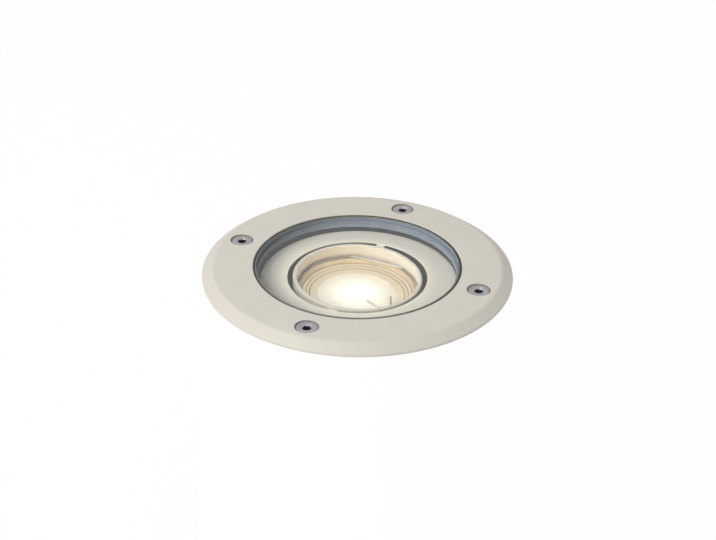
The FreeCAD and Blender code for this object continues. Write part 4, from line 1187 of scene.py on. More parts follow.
# ---- trim ----
@dataclass
class Trim:
    """The cream ring that shows, and its four screws."""

    radius: float = 65.0
    flat_radius: float = 60.5
    window_radius: float = 43.7
    top: float = 135.0
    rim_top: float = 131.8
    ground: float = 130.8
    seat: float = 131.1
    rebate_radius: float = 62.5
    screw_radius: float = 53.35
    screw_azimuths: tuple[float, ...] = (68.4, 158.4, 248.4, 338.4)
    mouth_radius: float = 4.9
    mouth_wall: float = 0.6
    head_radius: float = 4.5
    head_top: float = 134.45
    head_edge: float = 0.45
    mouth_rounding: float = 0.2
    drill_point: float = 0.5
    socket_turn: float = 24.0
    socket_chamfer: float = 0.42
    thread_depth: float = 0.42
    tip_taper: float = 0.6
    shank_radius: float = 2.5
    hole_radius: float = 2.75
    socket_across_flats: float = 3.4
    socket_depth: float = 2.3
    screw_length: float = 15.5
    thread_pitch: float = 0.8

    def screw_places(self) -> list[Matrix]:
        """Where the screws and their holes are."""
        return [around(azimuth, self.screw_radius) for azimuth in self.screw_azimuths]

    def countersink(self) -> Piece:
        """The shape of one screw hole, on the light's axis.

        Returns:
            A closed cutter.
        """
        wall = self.top - self.mouth_wall
        return Lathe("countersink_cutter", (
            (0, self.ground - 2.0),
            (self.hole_radius, self.ground - 2.0),
            (self.hole_radius, wall - self.mouth_radius + self.hole_radius),
            (self.mouth_radius, wall),
            (self.mouth_radius, self.top + 1.0),
            (0, self.top + 1.0)), segments=72).turn()

    def build_ring(self) -> None:
        """The trim ring with rounded edges and countersunk holes."""
        ring = Lathe("trim_ring", (
            (self.window_radius, self.seat),
            (self.rebate_radius, self.seat),
            (self.rebate_radius, self.ground),
            (self.radius, self.ground, 0.15),
            (self.radius, self.rim_top, 0.3),
            (self.flat_radius, self.top, 0.8),
            (self.window_radius, self.top, 0.35)), segments=192).turn()
        cut(ring, *spread(self.countersink(), self.screw_places()))
        self.round_hole_mouths(ring)
        smooth(ring, degrees=30.0)
        hand_over(ring, Body.FIXTURE, Slot.CREAM_COAT, ("trim_bezel",))

    def round_hole_mouths(self, ring: Piece) -> None:
        """Rounds the mouths of the countersinks, where powder builds up.

        Args:
            ring: The trim ring after its holes are cut.
        """
        mouth = self.mouth_radius * MM
        centres = [place.translation for place in self.screw_places()]
        take(ring)
        pick(ring, "EDGE", lambda edge: all(
            abs(vert.co.z - self.top * MM) < NEAR
            and any(abs((vert.co.xy - centre.xy).length - mouth) < LOOSE for centre in centres)
            for vert in edge.verts))
        bpy.ops.mesh.bevel(offset=self.mouth_rounding * MM, segments=3, affect="EDGES")
        bpy.ops.object.mode_set(mode="OBJECT")

    def thread_corners(self) -> list[Corner]:
        """The ridges of the screw's thread, from its tip upward.

        Returns:
            Radius and level of each corner.
        """
        tip = self.head_top - self.screw_length
        shoulder = self.head_top - self.head_edge - self.head_radius + self.shank_radius
        root = self.shank_radius - self.thread_depth
        corners: list[Corner] = [(0, tip), (self.shank_radius - self.tip_taper, tip)]
        level = tip + self.tip_taper
        while level + self.thread_pitch < shoulder - self.tip_taper:
            corners.append((root, level))
            corners.append((self.shank_radius, level + self.thread_pitch / 2))
            level += self.thread_pitch
        corners.append((root, level))
        corners.append((self.shank_radius, shoulder))
        return corners

    def build_screws(self) -> None:
        """Four countersunk screws with hexagon sockets, modelled once and copied."""
        cone = self.head_top - self.head_edge
        screw = Lathe("screw", tuple(self.thread_corners()) + (
            (self.head_radius, cone, 0.08),
            (self.head_radius, self.head_top, 0.3),
            (self.socket_across_flats / 2 + 1.1, self.head_top),
            (self.socket_across_flats / 2 + 1.0, self.head_top - 0.1),
            (0, self.head_top - 0.1)), segments=72, steps=3).turn()
        cut(screw, self.socket_cutter(), self.socket_mouth())
        smooth(screw, degrees=28.0)
        keep_own_place(screw)
        joined = join_pieces(spread(screw, self.screw_places()), "trim_screws")
        hand_over(joined, Body.FIXTURE, Slot.STAINLESS, ("bezel_screws",), SCREW_STEEL)

    def socket_cutter(self) -> Piece:
        """The hexagon socket, ending in the drill's cone.

        Returns:
            A closed cutter.
        """
        floor = self.head_top - self.socket_depth
        corner = self.socket_across_flats / math.sqrt(3)
        depth = self.socket_depth + 1.0
        deselect_all()
        bpy.ops.mesh.primitive_cylinder_add(vertices=6, radius=corner * MM, depth=depth * MM,
                                            location=(0, 0, (floor + depth / 2) * MM),
                                            rotation=(0, 0, math.radians(self.socket_turn)))
        cutter = added("socket_cutter")
        pick(cutter, "FACE", lambda face: face.normal.z < -FLAT)
        bpy.ops.mesh.extrude_region_move(TRANSFORM_OT_translate={"value": (0, 0, -self.drill_point * MM)})
        bpy.ops.transform.resize(value=(0.2, 0.2, 1.0), center_override=(0, 0, 0))
        bpy.ops.object.mode_set(mode="OBJECT")
        return cutter

    def socket_mouth(self) -> Piece:
        """The chamfer at the socket's mouth.

        Returns:
            A closed cutter.
        """
        top = self.head_top
        wide = self.socket_across_flats / 2 + self.socket_chamfer
        return Lathe("socket_mouth_cutter", (
            (0, top - 0.5), (wide - 0.5, top - 0.5), (wide, top), (wide, top + 0.5), (0, top + 0.5)),
            segments=48).turn()

    def build(self) -> None:
        """Builds and dresses the trim and its screws."""
        self.build_ring()
        self.build_screws()


# ---- window ----
@dataclass
class Window:
    """The flush glass with its seal and the bare ring that holds it."""

    glass_radius: float = 43.0
    glass_top: float = 134.8
    glass_bottom: float = 129.8
    seal_outer: float = 43.65
    seal_inner: float = 43.05
    seal_top: float = 134.65
    ledge: float = 129.3
    ledge_radius: float = 41.5
    carrier_radius: float = 46.7
    carrier_bottom: float = 127.3
    carrier_top: float = 131.1
    window_radius: float = 43.7
    bead_width: float = 1.15
    drip: float = 0.5
    drip_width: float = 0.8
    lip_radius: float = 41.6
    lip_push: float = 0.85
    lip_bottom: float = 124.87
    pot_bore: float = 43.0
    pot_mouth: float = 126.3
    gap: float = 0.03
    glass_gap: float = 0.04

    def build_glass(self) -> None:
        """The pane, with ground and polished edges."""
        pane = Lathe("window_pane", (
            (0, self.glass_bottom), (self.glass_radius, self.glass_bottom, 0.35),
            (self.glass_radius, self.glass_top, 0.6), (0, self.glass_top)), segments=192, steps=3).turn()
        smooth(pane, degrees=25.0)
        hand_over(pane, Body.FIXTURE, Slot.WINDOW_GLASS, ("glass_pane",))
        dress_rim(pane, GROUND_EDGE)

    def build_seal(self) -> None:
        """The seal: a lip round the glass and a bed under its edge."""
        bed = self.ledge_radius + self.bead_width + self.gap
        seal = Lathe("window_seal", (
            (bed, self.ledge), (self.seal_outer, self.ledge), (self.seal_outer, self.seal_top, 0.15),
            (self.seal_inner, self.seal_top, 0.15), (self.seal_inner, self.glass_bottom),
            (bed, self.glass_bottom, 0.1)), segments=160, steps=2).turn()
        smooth(seal, degrees=40.0)
        hand_over(seal, Body.FIXTURE, Slot.SEAL_RUBBER, ("glass_gasket",))

    def build_carrier(self) -> None:
        """The bare ring under the trim, whose ledge is the window's inner wall.

        The ledge has a bead above and a drip edge below.
        """
        bead = self.ledge_radius + self.bead_width
        drip = self.ledge_radius + self.drip_width
        foot = self.carrier_bottom - self.drip
        top = self.glass_bottom - self.glass_gap
        carrier = Lathe("window_carrier", (
            (self.ledge_radius, foot, 0.2), (drip, foot, 0.2),
            (drip, self.carrier_bottom), (self.carrier_radius, self.carrier_bottom, 0.3),
            (self.carrier_radius, self.carrier_top, 0.2), (self.window_radius, self.carrier_top),
            (self.window_radius, self.ledge), (bead, self.ledge), (bead, top),
            (self.ledge_radius, top, 0.08)), segments=192).turn()
        smooth(carrier, degrees=40.0)
        hand_over(carrier, Body.FIXTURE, Slot.BARE_ALUMINIUM, ("glass_carrier",), CARRIER_METAL)

    def push_lip(self, seal: Piece) -> None:
        """Lets the soft lip lie a little to one side.

        The photograph's dark ring is wider at the left. That the seal makes it so is a guess.

        Args:
            seal: The seal, just turned.
        """
        take(seal)
        pick(seal, "VERT", lambda vert: vert.co.xy.length < (self.lip_radius + 0.3) * MM)
        bpy.ops.transform.translate(value=(self.lip_push * MM, 0, 0))
        bpy.ops.object.mode_set(mode="OBJECT")

    def build_lipped_seal(self) -> None:
        """The seal between carrier and pot, with a lip that centres it in the pot's mouth."""
        under = self.carrier_bottom - self.drip - self.gap
        inner = self.ledge_radius + self.drip_width + self.gap
        seal = Lathe("carrier_seal_lipped", (
            (self.lip_radius, self.lip_bottom, 0.1), (self.pot_bore, self.lip_bottom, 0.1),
            (self.pot_bore, self.pot_mouth), (self.carrier_radius, self.pot_mouth, 0.25),
            (self.carrier_radius, self.carrier_bottom, 0.25), (inner, self.carrier_bottom),
            (inner, under), (self.lip_radius, under)), segments=160, steps=2).turn()
        self.push_lip(seal)
        smooth(seal, degrees=40.0)
        hand_over(seal, Body.FIXTURE, Slot.SEAL_RUBBER, ("carrier_seal",), SHADED_RUBBER)

    def build(self) -> None:
        """Builds and dresses the glass, its seals and its carrier."""
        self.build_glass()
        self.build_seal()
        self.build_carrier()
        self.build_lipped_seal()


# ---- baffle ----
@dataclass
class Baffle:
    """The spun cream ring that turns in the pot and carries the lamp ring between two ears."""

    hole_radius: float = 29.4
    top: float = 126.1
    edge_radius: float = 42.6
    edge_top: float = 124.6
    bottom: float = 118.6
    sheet: float = 1.2
    lip: float = 0.35
    ear_azimuths: tuple[float, ...] = (70.0, 250.0)
    ear_inner: float = 27.85
    ear_sheet: float = 1.0
    ear_width: float = 3.6
    ear_sink: float = 0.3
    ear_bottom: float = 119.0

    def build_ring(self) -> Piece:
        """The shallow cone with its skirt and rolled lip.

        Returns:
            The ring.
        """
        return Lathe("baffle_ring_spun", (
            (self.hole_radius, self.top - self.lip, 0.1),
            (self.hole_radius + self.sheet, self.top - self.sheet - 0.1, 0.3),
            (self.edge_radius - self.sheet, self.edge_top - self.sheet, 0.5),
            (self.edge_radius - self.sheet, self.bottom),
            (self.edge_radius, self.bottom, 0.25),
            (self.edge_radius, self.edge_top, 1.0),
            (self.hole_radius, self.top, 0.2)), segments=192, steps=4).turn()

    def build_ear(self) -> Piece:
        """One tab bent down from the lip, built along +X.

        Returns:
            The tab.
        """
        outer = self.hole_radius + self.sheet
        high = self.top - self.ear_sink
        low = self.top - self.sheet
        deselect_all()
        middle = Vector(((self.ear_inner + outer) / 2, 0, (low + high) / 2)) * MM
        size = Vector((outer - self.ear_inner, self.ear_width, high - low)) * MM
        bpy.ops.mesh.primitive_cube_add(size=1.0, location=middle, scale=size)
        ear = added("ear")
        split = self.ear_inner + self.ear_sheet
        bpy.ops.object.mode_set(mode="EDIT")
        bpy.ops.mesh.select_all(action="SELECT")
        bpy.ops.mesh.bisect(plane_co=(split * MM, 0, 0), plane_no=(1, 0, 0))
        pick(ear, "FACE", lambda face: face.normal.z < -FLAT and face.calc_center_median().x < split * MM)
        drop = (0, 0, (self.ear_bottom - low) * MM)
        bpy.ops.mesh.extrude_region_move(TRANSFORM_OT_translate={"value": drop})
        bpy.ops.object.mode_set(mode="OBJECT")
        round_edges(ear, width=0.25, degrees=40.0, segments=3)
        return ear

    def build(self) -> None:
        """Builds and dresses the baffle with its ears."""
        ring = self.build_ring()
        ears = spread(self.build_ear(), [around(azimuth) for azimuth in self.ear_azimuths])
        baffle = join_pieces([ring] + ears, "baffle_spun")
        smooth(baffle, degrees=35.0)
        hand_over(baffle, Body.BAFFLE, Slot.CREAM_COAT, ("baffle_ring",), PAINTED_GLOW_COAT)


# ---- lamp carrier ----
@dataclass
class LampCarrier:
    """The tilting ring with its pivots and the sprung wire that holds the lamp down."""

    pivot_level: float = 121.6
    pivot_azimuth: float = 70.0
    rest_tilt: float = 1.8
    radius: float = 27.25
    bore_radius: float = 25.55
    top: float = 126.2
    bottom: float = 116.2
    seat: float = 117.5
    seat_radius: float = 23.65
    pin_radius: float = 1.2
    pin_head_radius: float = 2.1
    pin_head: float = 0.7
    ear_outer: float = 28.9
    wire_level: float = 121.35
    wire_radius: float = 0.45
    wire_reach: float = 25.05
    wire_bend: float = 3.2
    tail_bend: float = 1.6
    wire_azimuths: tuple[float, ...] = (
        -55.5, -22.0, 4.0, 22.0, 40.0, 98.0, 137.0, 182.0, 226.0, 262.0, 301.8)
    first_tail: tuple[float, float, float] = (-0.4, 8.9, 2.5)
    last_tail: tuple[float, float, float] = (-9.35, 6.4, 2.25)

    def tilt(self) -> Matrix:
        """The lean of the lamp carrier about its pivots, as the photograph shows it.

        Returns:
            The turn about the pivots' axis.
        """
        azimuth = math.radians(self.pivot_azimuth)
        axis = Vector((math.cos(azimuth), math.sin(azimuth), 0))
        centre = Matrix.Translation((0, 0, self.pivot_level * MM))
        return centre @ Matrix.Rotation(math.radians(self.rest_tilt), 4, axis) @ centre.inverted()

    def build_ring(self) -> None:
        """The ring with a rolled mouth and the seat for the lamp's rim."""
        ring = Lathe("lamp_ring_turned", (
            (self.seat_radius, self.bottom, 0.3), (self.radius, self.bottom, 0.5),
            (self.radius, self.top, 0.5), (self.bore_radius, self.top, 0.5),
            (self.bore_radius, self.seat), (self.seat_radius, self.seat, 0.3)),
            segments=176, steps=4).turn()
        move_piece(ring, self.tilt())
        smooth(ring, degrees=35.0)
        hand_over(ring, Body.LAMP_HEAD, Slot.CREAM_COAT, ("lamp_ring",))

    def build_pins(self) -> None:
        """Two pivot pins with low domed heads."""
        start = self.bore_radius + 0.05
        pin = Lathe("pivot_pin", (
            (0, start), (self.pin_radius, start, 0.15), (self.pin_radius, self.ear_outer),
            (self.pin_head_radius, self.ear_outer, 0.08),
            (self.pin_head_radius - 0.1, self.ear_outer + 0.45, 0.15),
            (self.pin_head_radius - 0.9, self.ear_outer + self.pin_head - 0.02, 0.1),
            (0, self.ear_outer + self.pin_head)), segments=40, steps=2).turn()
        lay = Matrix.Translation((0, 0, self.pivot_level * MM)) @ Matrix.Rotation(math.radians(90.0), 4, "Y")
        places = [self.tilt() @ around(self.pivot_azimuth + side) @ lay for side in (0.0, 180.0)]
        joined = join_pieces(spread(pin, places), "pivot_pins_turned")
        smooth(joined, degrees=35.0)
        hand_over(joined, Body.LAMP_HEAD, Slot.STAINLESS, ("pivot_pins",))

    def wire_points(self) -> list[Vector]:
        """The corners of the bent wire, from one finger tail to the other.

        Returns:
            The points in metres before the tilt.
        """
        corners = []
        for azimuth in self.wire_azimuths:
            angle = math.radians(azimuth)
            corners.append(Vector((self.wire_reach * math.cos(angle), self.wire_reach * math.sin(angle),
                                   self.wire_level)))
        first = corners[0] + Vector(self.first_tail)
        last = corners[-1] + Vector(self.last_tail)
        return [point * MM for point in [first] + corners + [last]]

    def build_clip(self) -> None:
        """The spring clip: a wire bent round the lamp's rim, corner by corner."""
        points = self.wire_points()
        deselect_all()
        bpy.ops.mesh.primitive_plane_add(size=0.001, location=points[0])
        clip = added("lamp_clip_wire")
        bpy.ops.object.mode_set(mode="EDIT")
        bpy.ops.mesh.select_mode(type="VERT")
        bpy.ops.mesh.select_all(action="SELECT")
        bpy.ops.mesh.merge(type="CENTER")
        for before, point in zip(points, points[1:]):
            bpy.ops.mesh.extrude_vertices_move(TRANSFORM_OT_translate={"value": tuple(point - before)})
        for index in range(1, len(points) - 1):
            back = points[index - 1] - points[index]
            ahead = points[index + 1] - points[index]
            bend = self.tail_bend if index in (1, len(points) - 2) else self.wire_bend
            reach = bend * MM / math.tan(back.angle(ahead) / 2)
            pick(clip, "VERT", lambda vert: (vert.co - points[index]).length < LOOSE)
            bpy.ops.mesh.bevel(offset=reach, segments=6, affect="VERTICES")
        bpy.ops.object.mode_set(mode="OBJECT")
        take(clip)
        bpy.ops.object.convert(target="CURVE")
        clip = bpy.context.object
        clip.data.bevel_depth = self.wire_radius * MM
        clip.data.bevel_resolution = 5
        clip.data.use_fill_caps = True
        bpy.ops.object.convert(target="MESH")
        clip = bpy.context.object
        clip.name = "lamp_clip_wire"
        move_piece(clip, self.tilt())
        smooth(clip, degrees=50.0, weighted=False)
        hand_over(clip, Body.LAMP_HEAD, Slot.STAINLESS, ("lamp_clip",), SPRING_WIRE)

    def build(self) -> None:
        """Builds and dresses the ring, its pins and its clip."""
        self.build_ring()
        self.build_pins()
        self.build_clip()


# ---- lamp ----
@dataclass
class Lamp:
    """The lit reflector lamp: bowl, inner mirror, stepped front glass and burner."""

    carrier: LampCarrier
    radius: float = 25.0
    seat: float = 117.5
    rim_top: float = 120.9
    rim_bore: float = 23.3
    shelf: float = 117.9
    lens_bottom: float = 116.9
    lens_top: float = 118.7
    lens_radius: float = 23.2
    boss_radius: float = 21.6
    groove_radii: tuple[float, ...] = (21.6, 20.2)
    border_fall: float = 0.3
    groove_halves: tuple[float, float] = (0.28, 0.18)
    groove_depth: float = 0.25
    centre_rise: float = 0.7
    rib_radii: tuple[float, ...] = (13.5, 10.0, 6.5, 3.0)
    rib_height: float = 0.16
    centre_radius: float = 16.7
    shoulder_radius: float = 23.35
    neck_radius: float = 11.5
    length: float = 27.8
    wall: float = 1.4
    capsule_radius: float = 4.5
    capsule_length: float = 17.0
    pinch: float = 0.4
    pinch_levels: tuple[float, float] = (4.0, 5.0)
    rows: int = 9
    mirror_insets: tuple[float, float] = (0.06, 0.2)
    mirror_rows: int = 8
    mirror_start: float = 0.06
    mirror_panes: int = 32

    def bowl(self, inset: float, rows: int, start: float = 0.0) -> list[Corner]:
        """The bowl's curve from its shoulder down to its neck.

        Args:
            inset: How far inside the outer face, in millimetres.
            rows: The number of steps.
            start: The share of the depth at which the curve begins.

        Returns:
            Radius and level of each step.
        """
        corners: list[Corner] = []
        for row in range(rows + 1):
            share = start + (1 - start) * row / rows
            radius = math.sqrt(self.shoulder_radius ** 2 * (1 - share) + self.neck_radius ** 2 * share)
            corners.append((radius - inset, self.seat - self.length * share))
        return corners

    def build_bowl(self) -> None:
        """The glass bowl with its thick rim."""
        rim = [(self.radius, self.seat, 0.3), (self.radius, self.rim_top, 0.6),
               (self.rim_bore, self.rim_top, 0.5), (self.rim_bore, self.shelf),
               (self.shoulder_radius - self.wall, self.shelf)]
        corners = self.bowl(0.0, self.rows)[::-1] + rim + self.bowl(self.wall, self.rows)
        bowl = Lathe("lamp_bowl", tuple(corners), segments=128).turn()
        move_piece(bowl, self.carrier.tilt())
        smooth(bowl, degrees=40.0, weighted=False)
        hand_over(bowl, Body.LAMP_HEAD, Slot.BOWL_GLASS, ("lamp_reflector",))

    def build_mirror(self) -> None:
        """The faceted mirror inside the bowl, a thin shell of flat panes."""
        outer, inner = (self.bowl(self.wall + inset, self.mirror_rows, self.mirror_start)
                        for inset in self.mirror_insets)
        mirror = Lathe("lamp_mirror_facets", tuple(outer + inner[::-1]), segments=self.mirror_panes).turn()
        move_piece(mirror, self.carrier.tilt())
        take(mirror)
        bpy.ops.object.shade_flat()
        hand_over(mirror, Body.LAMP_HEAD, Slot.BOWL_GLASS)

    def border_level(self, radius: float) -> float:
        """How high the lens's border lies at a radius, in millimetres."""
        return self.lens_top - self.border_fall * (self.lens_radius - radius)

    def build_lens(self) -> None:
        """The front glass: a border that falls inward in steps, and a ribbed middle."""
        corners: list[Corner] = [
            (0, self.lens_bottom), (self.boss_radius, self.lens_bottom, 0.2), (self.boss_radius, self.shelf),
            (self.lens_radius, self.shelf), (self.lens_radius, self.lens_top, 0.2)]
        for radius in self.groove_radii:
            level = self.border_level(radius)
            mouth, floor = self.groove_halves
            corners += [(radius + mouth, level + 0.06, 0.06), (radius + floor, level - self.groove_depth),
                        (radius - floor, level - self.groove_depth), (radius - mouth, level - 0.06, 0.06)]
        centre = self.border_level(self.centre_radius) + self.centre_rise
        corners += [(self.centre_radius + 0.5, centre - 0.3), (self.centre_radius, centre, 0.12)]
        crest = centre + self.rib_height
        for radius in self.rib_radii:
            corners += [(radius + 0.5, centre + 0.02), (radius, crest, 0.06)]
        corners.append((0, crest))
        lens = Lathe("lamp_front_glass", tuple(corners), segments=144, steps=2).turn()
        move_piece(lens, self.carrier.tilt())
        smooth(lens, degrees=30.0)
        hand_over(lens, Body.LAMP_HEAD, Slot.LENS_GLASS, ("lamp_front_lens",))

    def build_capsule(self) -> None:
        """The burner: a quartz capsule with a pressed foot and a domed tip."""
        low = self.seat - self.length
        foot = self.capsule_radius - self.pinch
        start, end = self.pinch_levels
        corners: list[Corner] = [(0, low), (foot, low, 0.3), (foot, low + start),
                                 (self.capsule_radius, low + end, 0.5)]
        shoulder = low + self.capsule_length - self.capsule_radius
        for step in range(7):
            angle = math.radians(12.0 * step)
            rise = self.capsule_radius * math.sin(angle)
            corners.append((self.capsule_radius * math.cos(angle), shoulder + rise))
        corners.append((0, shoulder + self.capsule_radius))
        capsule = Lathe("lamp_burner", tuple(corners), segments=48, steps=2).turn()
        move_piece(capsule, self.carrier.tilt())
        smooth(capsule, degrees=50.0)
        hand_over(capsule, Body.LAMP_HEAD, Slot.CAPSULE_GLASS, ("lamp_capsule",))

    def build(self) -> None:
        """Builds and dresses the lamp."""
        self.build_bowl()
        self.build_mirror()
        self.build_lens()
        self.build_capsule()


# ---- ground sleeve ----
@dataclass
class GroundSleeve:
    """The buried sleeve: banded wall, cable notches, drain slots and an inward foot."""

    radius: float = 61.2
    bore: float = 59.2
    height: float = 131.1
    foot_radius: float = 47.2
    foot: float = 2.5
    notch_width: float = 22.0
    notch_height: float = 36.0
    notch_azimuths: tuple[float, ...] = (0.0, 180.0)
    slot_width: float = 5.0
    slot_low: float = 12.0
    slot_high: float = 34.0
    slot_pitch: float = 20.0
    slots: int = 5
    band_levels: tuple[float, ...] = (44.0, 49.0, 84.0, 89.0, 119.0)
    band_width: float = 1.6
    band_depth: float = 0.45

    def arch(self, width: float, low: float, high: float, name: str) -> Piece:
        """A cutter with a round top and bottom, lying along +X through the wall.

        Args:
            width: Its width in millimetres.
            low: Its lowest point.
            high: Its highest point.
            name: The cutter's name.

        Returns:
            The cutter.
        """
        centre = high - width / 2
        deselect_all()
        bpy.ops.mesh.primitive_cylinder_add(vertices=64, radius=width / 2 * MM, depth=20.0 * MM,
                                            location=(self.radius * MM, 0, centre * MM),
                                            rotation=(0, math.radians(90.0), 0))
        cutter = added(name)
        pick(cutter, "VERT", lambda vert: vert.co.z < centre * MM - NEAR)
        bpy.ops.transform.translate(value=(0, 0, (low + width / 2 - centre) * MM))
        bpy.ops.object.mode_set(mode="OBJECT")
        return cutter

    def wall_corners(self) -> tuple[Corner, ...]:
        """The wall's profile, with its moulded bands.

        Returns:
            Radius, level and rounding of each corner.
        """
        corners: list[Corner] = [(self.foot_radius, 0, 0.4), (self.radius, 0, 0.6)]
        half = self.band_width / 2
        for level in self.band_levels:
            corners += [(self.radius, level - half), (self.radius - self.band_depth, level - half + 0.3),
                        (self.radius - self.band_depth, level + half - 0.3), (self.radius, level + half)]
        corners += [(self.radius, self.height, 0.4), (self.bore, self.height, 0.4),
                    (self.bore, self.foot, 0.8), (self.foot_radius, self.foot, 0.4)]
        return tuple(corners)

    def build(self) -> None:
        """Builds and dresses the sleeve."""
        sleeve = Lathe("ground_sleeve_banded", self.wall_corners(), segments=192, steps=2).turn()
        notch = self.arch(self.notch_width, -self.notch_height, self.notch_height, "notch_cutter")
        cut(sleeve, *spread(notch, [around(azimuth) for azimuth in self.notch_azimuths]))
        slot = self.arch(self.slot_width, self.slot_low, self.slot_high, "slot_cutter")
        turns = [side + (index - (self.slots - 1) / 2) * self.slot_pitch
                 for side in (90.0, 270.0) for index in range(self.slots)]
        cut(sleeve, *spread(slot, [around(turn) for turn in turns]))
        round_edges(sleeve, width=0.35, degrees=50.0)
        smooth(sleeve, degrees=32.0)
        hand_over(sleeve, Body.FIXTURE, Slot.SLEEVE_PLASTIC, ("ground_sleeve",))


# ---- pieces carried over from the frame ----
@dataclass
class CarriedNodes:
    """The CAD nodes whose shape stays and which get their finish here."""

    record: dict

    def dress(self, kept: set[str]) -> None:
        """Gives each node that still shows the finish of its slot.

        Args:
            kept: The names of the nodes that no piece replaces.
        """
        for entry in self.record["subparts"]:
            name = entry["node"]
            if name not in kept:
                continue
            slot = Slot(entry["material_slot"])
            node = frame["nodes"][name]
            if not node.material_slots:
                node.data.materials.append(None)
            for place in node.material_slots:
                place.link = "OBJECT"
                place.material = MATERIALS[slot]
            LOG.info("carried over %s in %s", name, slot.value)


# ---- studio ----
def hide_from(piece: Piece, *rays: str) -> None:
    """Hides an object from some kinds of ray."""
    for ray in rays:
        setattr(piece, "visible_" + ray, False)


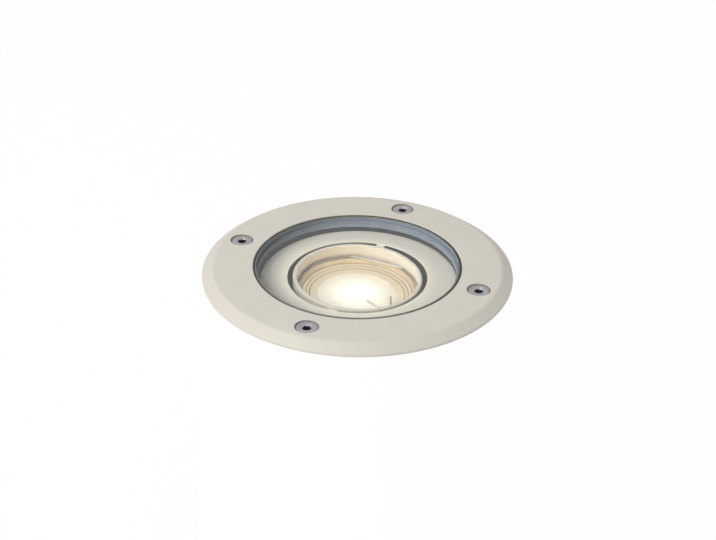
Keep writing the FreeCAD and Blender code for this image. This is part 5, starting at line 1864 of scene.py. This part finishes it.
@dataclass
class Studio:
    """The pale floor, the card that hides what is in the ground, the lamps and the camera."""

    floor_size: float = 12.0
    floor_gap: float = 0.0005
    card_radius: float = 65.0
    card_level: float = 130.84
    card_drop: float = 135.0
    card_start: float = 5.0
    card_share: float = 0.2
    sky: Colour = (0.6, 0.6, 0.61)
    key_direction: tuple[float, float, float] = (-0.593, -0.395, 0.701)
    key_distance: float = 1.3
    key_size: float = 0.7
    key_power: float = 10.0
    key_colour: Colour = (1.0, 0.985, 0.96)
    key_aim: tuple[float, float, float] = (0.0, 0.0, 0.13)
    elevation: float = 30.15
    burner_place: tuple[float, float, float] = (0.4, 2.6, 122.3)
    burner_radius: float = 3.5
    burner_power: float = 0.009
    burner_colour: Colour = (1.0, 0.76, 0.42)
    lens: float = 85.0
    sensor: float = 36.0
    nearest: float = 0.01
    roll: float = 0.717
    eye: tuple[float, float, float] = (0.000215, -0.61263, 0.48790)

    def build_floor(self, white: Material) -> Piece:
        """The studio floor under the sleeve.

        Args:
            white: The floor's material.

        Returns:
            The floor.
        """
        deselect_all()
        bpy.ops.mesh.primitive_plane_add(size=self.floor_size, location=(0, 0, -self.floor_gap))
        floor = bpy.context.object
        floor.name = "studio_floor"
        floor.data.materials.append(white)
        return floor

    def build_card(self, white: Material) -> Piece:
        """A small white card close to the camera, which stands for the ground that the light is set in.

        It starts as a curtain under the front of the trim and is then drawn towards the camera's eye, so the
        photograph's view shows the trim alone and every other view shows the whole light.

        Args:
            white: The card's material.

        Returns:
            The card.
        """
        angle = math.radians(self.elevation)
        deselect_all()
        bpy.ops.mesh.primitive_circle_add(vertices=240, radius=self.card_radius * MM,
                                          location=(0, 0, self.card_level * MM))
        card = added("ground_card")
        pick(card, "VERT", lambda vert: vert.co.y > -self.card_start * MM)
        bpy.ops.mesh.delete(type="VERT")
        bpy.ops.mesh.select_all(action="SELECT")
        drop = (0, -self.card_drop * MM * math.sin(angle), -self.card_drop * MM * math.cos(angle))
        bpy.ops.mesh.extrude_edges_move(TRANSFORM_OT_translate={"value": drop})
        bpy.ops.mesh.select_all(action="SELECT")
        bpy.ops.transform.resize(value=(self.card_share,) * 3, center_override=self.eye)
        bpy.ops.object.mode_set(mode="OBJECT")
        card.data.materials.append(white)
        hide_from(card, "shadow", "diffuse", "glossy")
        return card

    def build_world(self) -> None:
        """Soft even light, with a white backdrop wherever it is seen."""
        world = bpy.data.worlds.new("soft_studio")
        bpy.context.scene.world = world
        world.use_nodes = True
        board = NodeBoard(world.node_tree)
        light = world.node_tree.nodes["Background"]
        light.inputs["Color"].default_value = (*self.sky, 1.0)
        light.inputs["Strength"].default_value = 1.0
        backdrop = board.add("ShaderNodeBackground")
        backdrop.inputs["Color"].default_value = (1.0, 1.0, 1.0, 1.0)
        path = board.add("ShaderNodeLightPath")
        output = world.node_tree.nodes["World Output"]
        board.finish_with(output, path.outputs["Is Camera Ray"], light, backdrop)

    def build_key(self) -> None:
        """The soft key lamp, from the left and a little in front."""
        away = Vector(self.key_direction).normalized()
        deselect_all()
        bpy.ops.object.light_add(type="AREA", location=Vector(self.key_aim) + away * self.key_distance,
                                 rotation=away.to_track_quat("Z", "Y").to_euler())
        lamp = bpy.context.object
        lamp.name = "key_lamp"
        lamp.data.size = self.key_size
        lamp.data.energy = self.key_power
        lamp.data.color = self.key_colour

    def build_burner_light(self) -> None:
        """The lit lamp's warm light on the ring round it."""
        deselect_all()
        bpy.ops.object.light_add(type="POINT", location=Vector(self.burner_place) * MM)
        lamp = bpy.context.object
        lamp.name = "burner_light"
        lamp.data.shadow_soft_size = self.burner_radius * MM
        lamp.data.energy = self.burner_power
        lamp.data.color = self.burner_colour
        hide_from(lamp, "camera", "glossy", "transmission")

    def build_camera(self) -> None:
        """The camera at the photograph's place and angle."""
        angle = math.radians(self.elevation)
        forward = Vector((0, math.cos(angle), -math.sin(angle)))
        turn = forward.to_track_quat("-Z", "Y").to_matrix().to_4x4()
        camera = bpy.data.objects.new("photo_camera", bpy.data.cameras.new("photo_camera"))
        bpy.context.scene.collection.objects.link(camera)
        camera.data.lens = self.lens
        camera.data.sensor_width = self.sensor
        camera.data.clip_start = self.nearest
        camera.matrix_world = (Matrix.Translation(self.eye) @ turn
                               @ Matrix.Rotation(math.radians(self.roll), 4, "Z"))
        bpy.context.scene.camera = camera

    def build(self) -> None:
        """Sets up the floor, the light and the camera."""
        white = PaleGround("pale_ground", (0.9, 0.9, 0.9), (0.92, 0.92, 0.92), roughness=0.9).material()
        self.build_floor(white)
        self.build_card(white)
        self.build_world()
        self.build_key()
        self.build_burner_light()
        self.build_camera()
        bpy.context.scene.view_settings.view_transform = "Standard"


def main() -> None:
    """Builds the assemblies in order, dresses the nodes carried over and sets up the studio."""
    logging.basicConfig(level=logging.INFO, format="%(name)s: %(message)s")
    Trim().build()
    Window().build()
    Baffle().build()
    carrier = LampCarrier()
    carrier.build()
    Lamp(carrier).build()
    GroundSleeve().build()
    kept = {name for name, node in frame["nodes"].items() if not node.hide_render}
    CarriedNodes(frame["record"]).dress(kept)
    Studio().build()


if __name__ == "__main__":
    main()
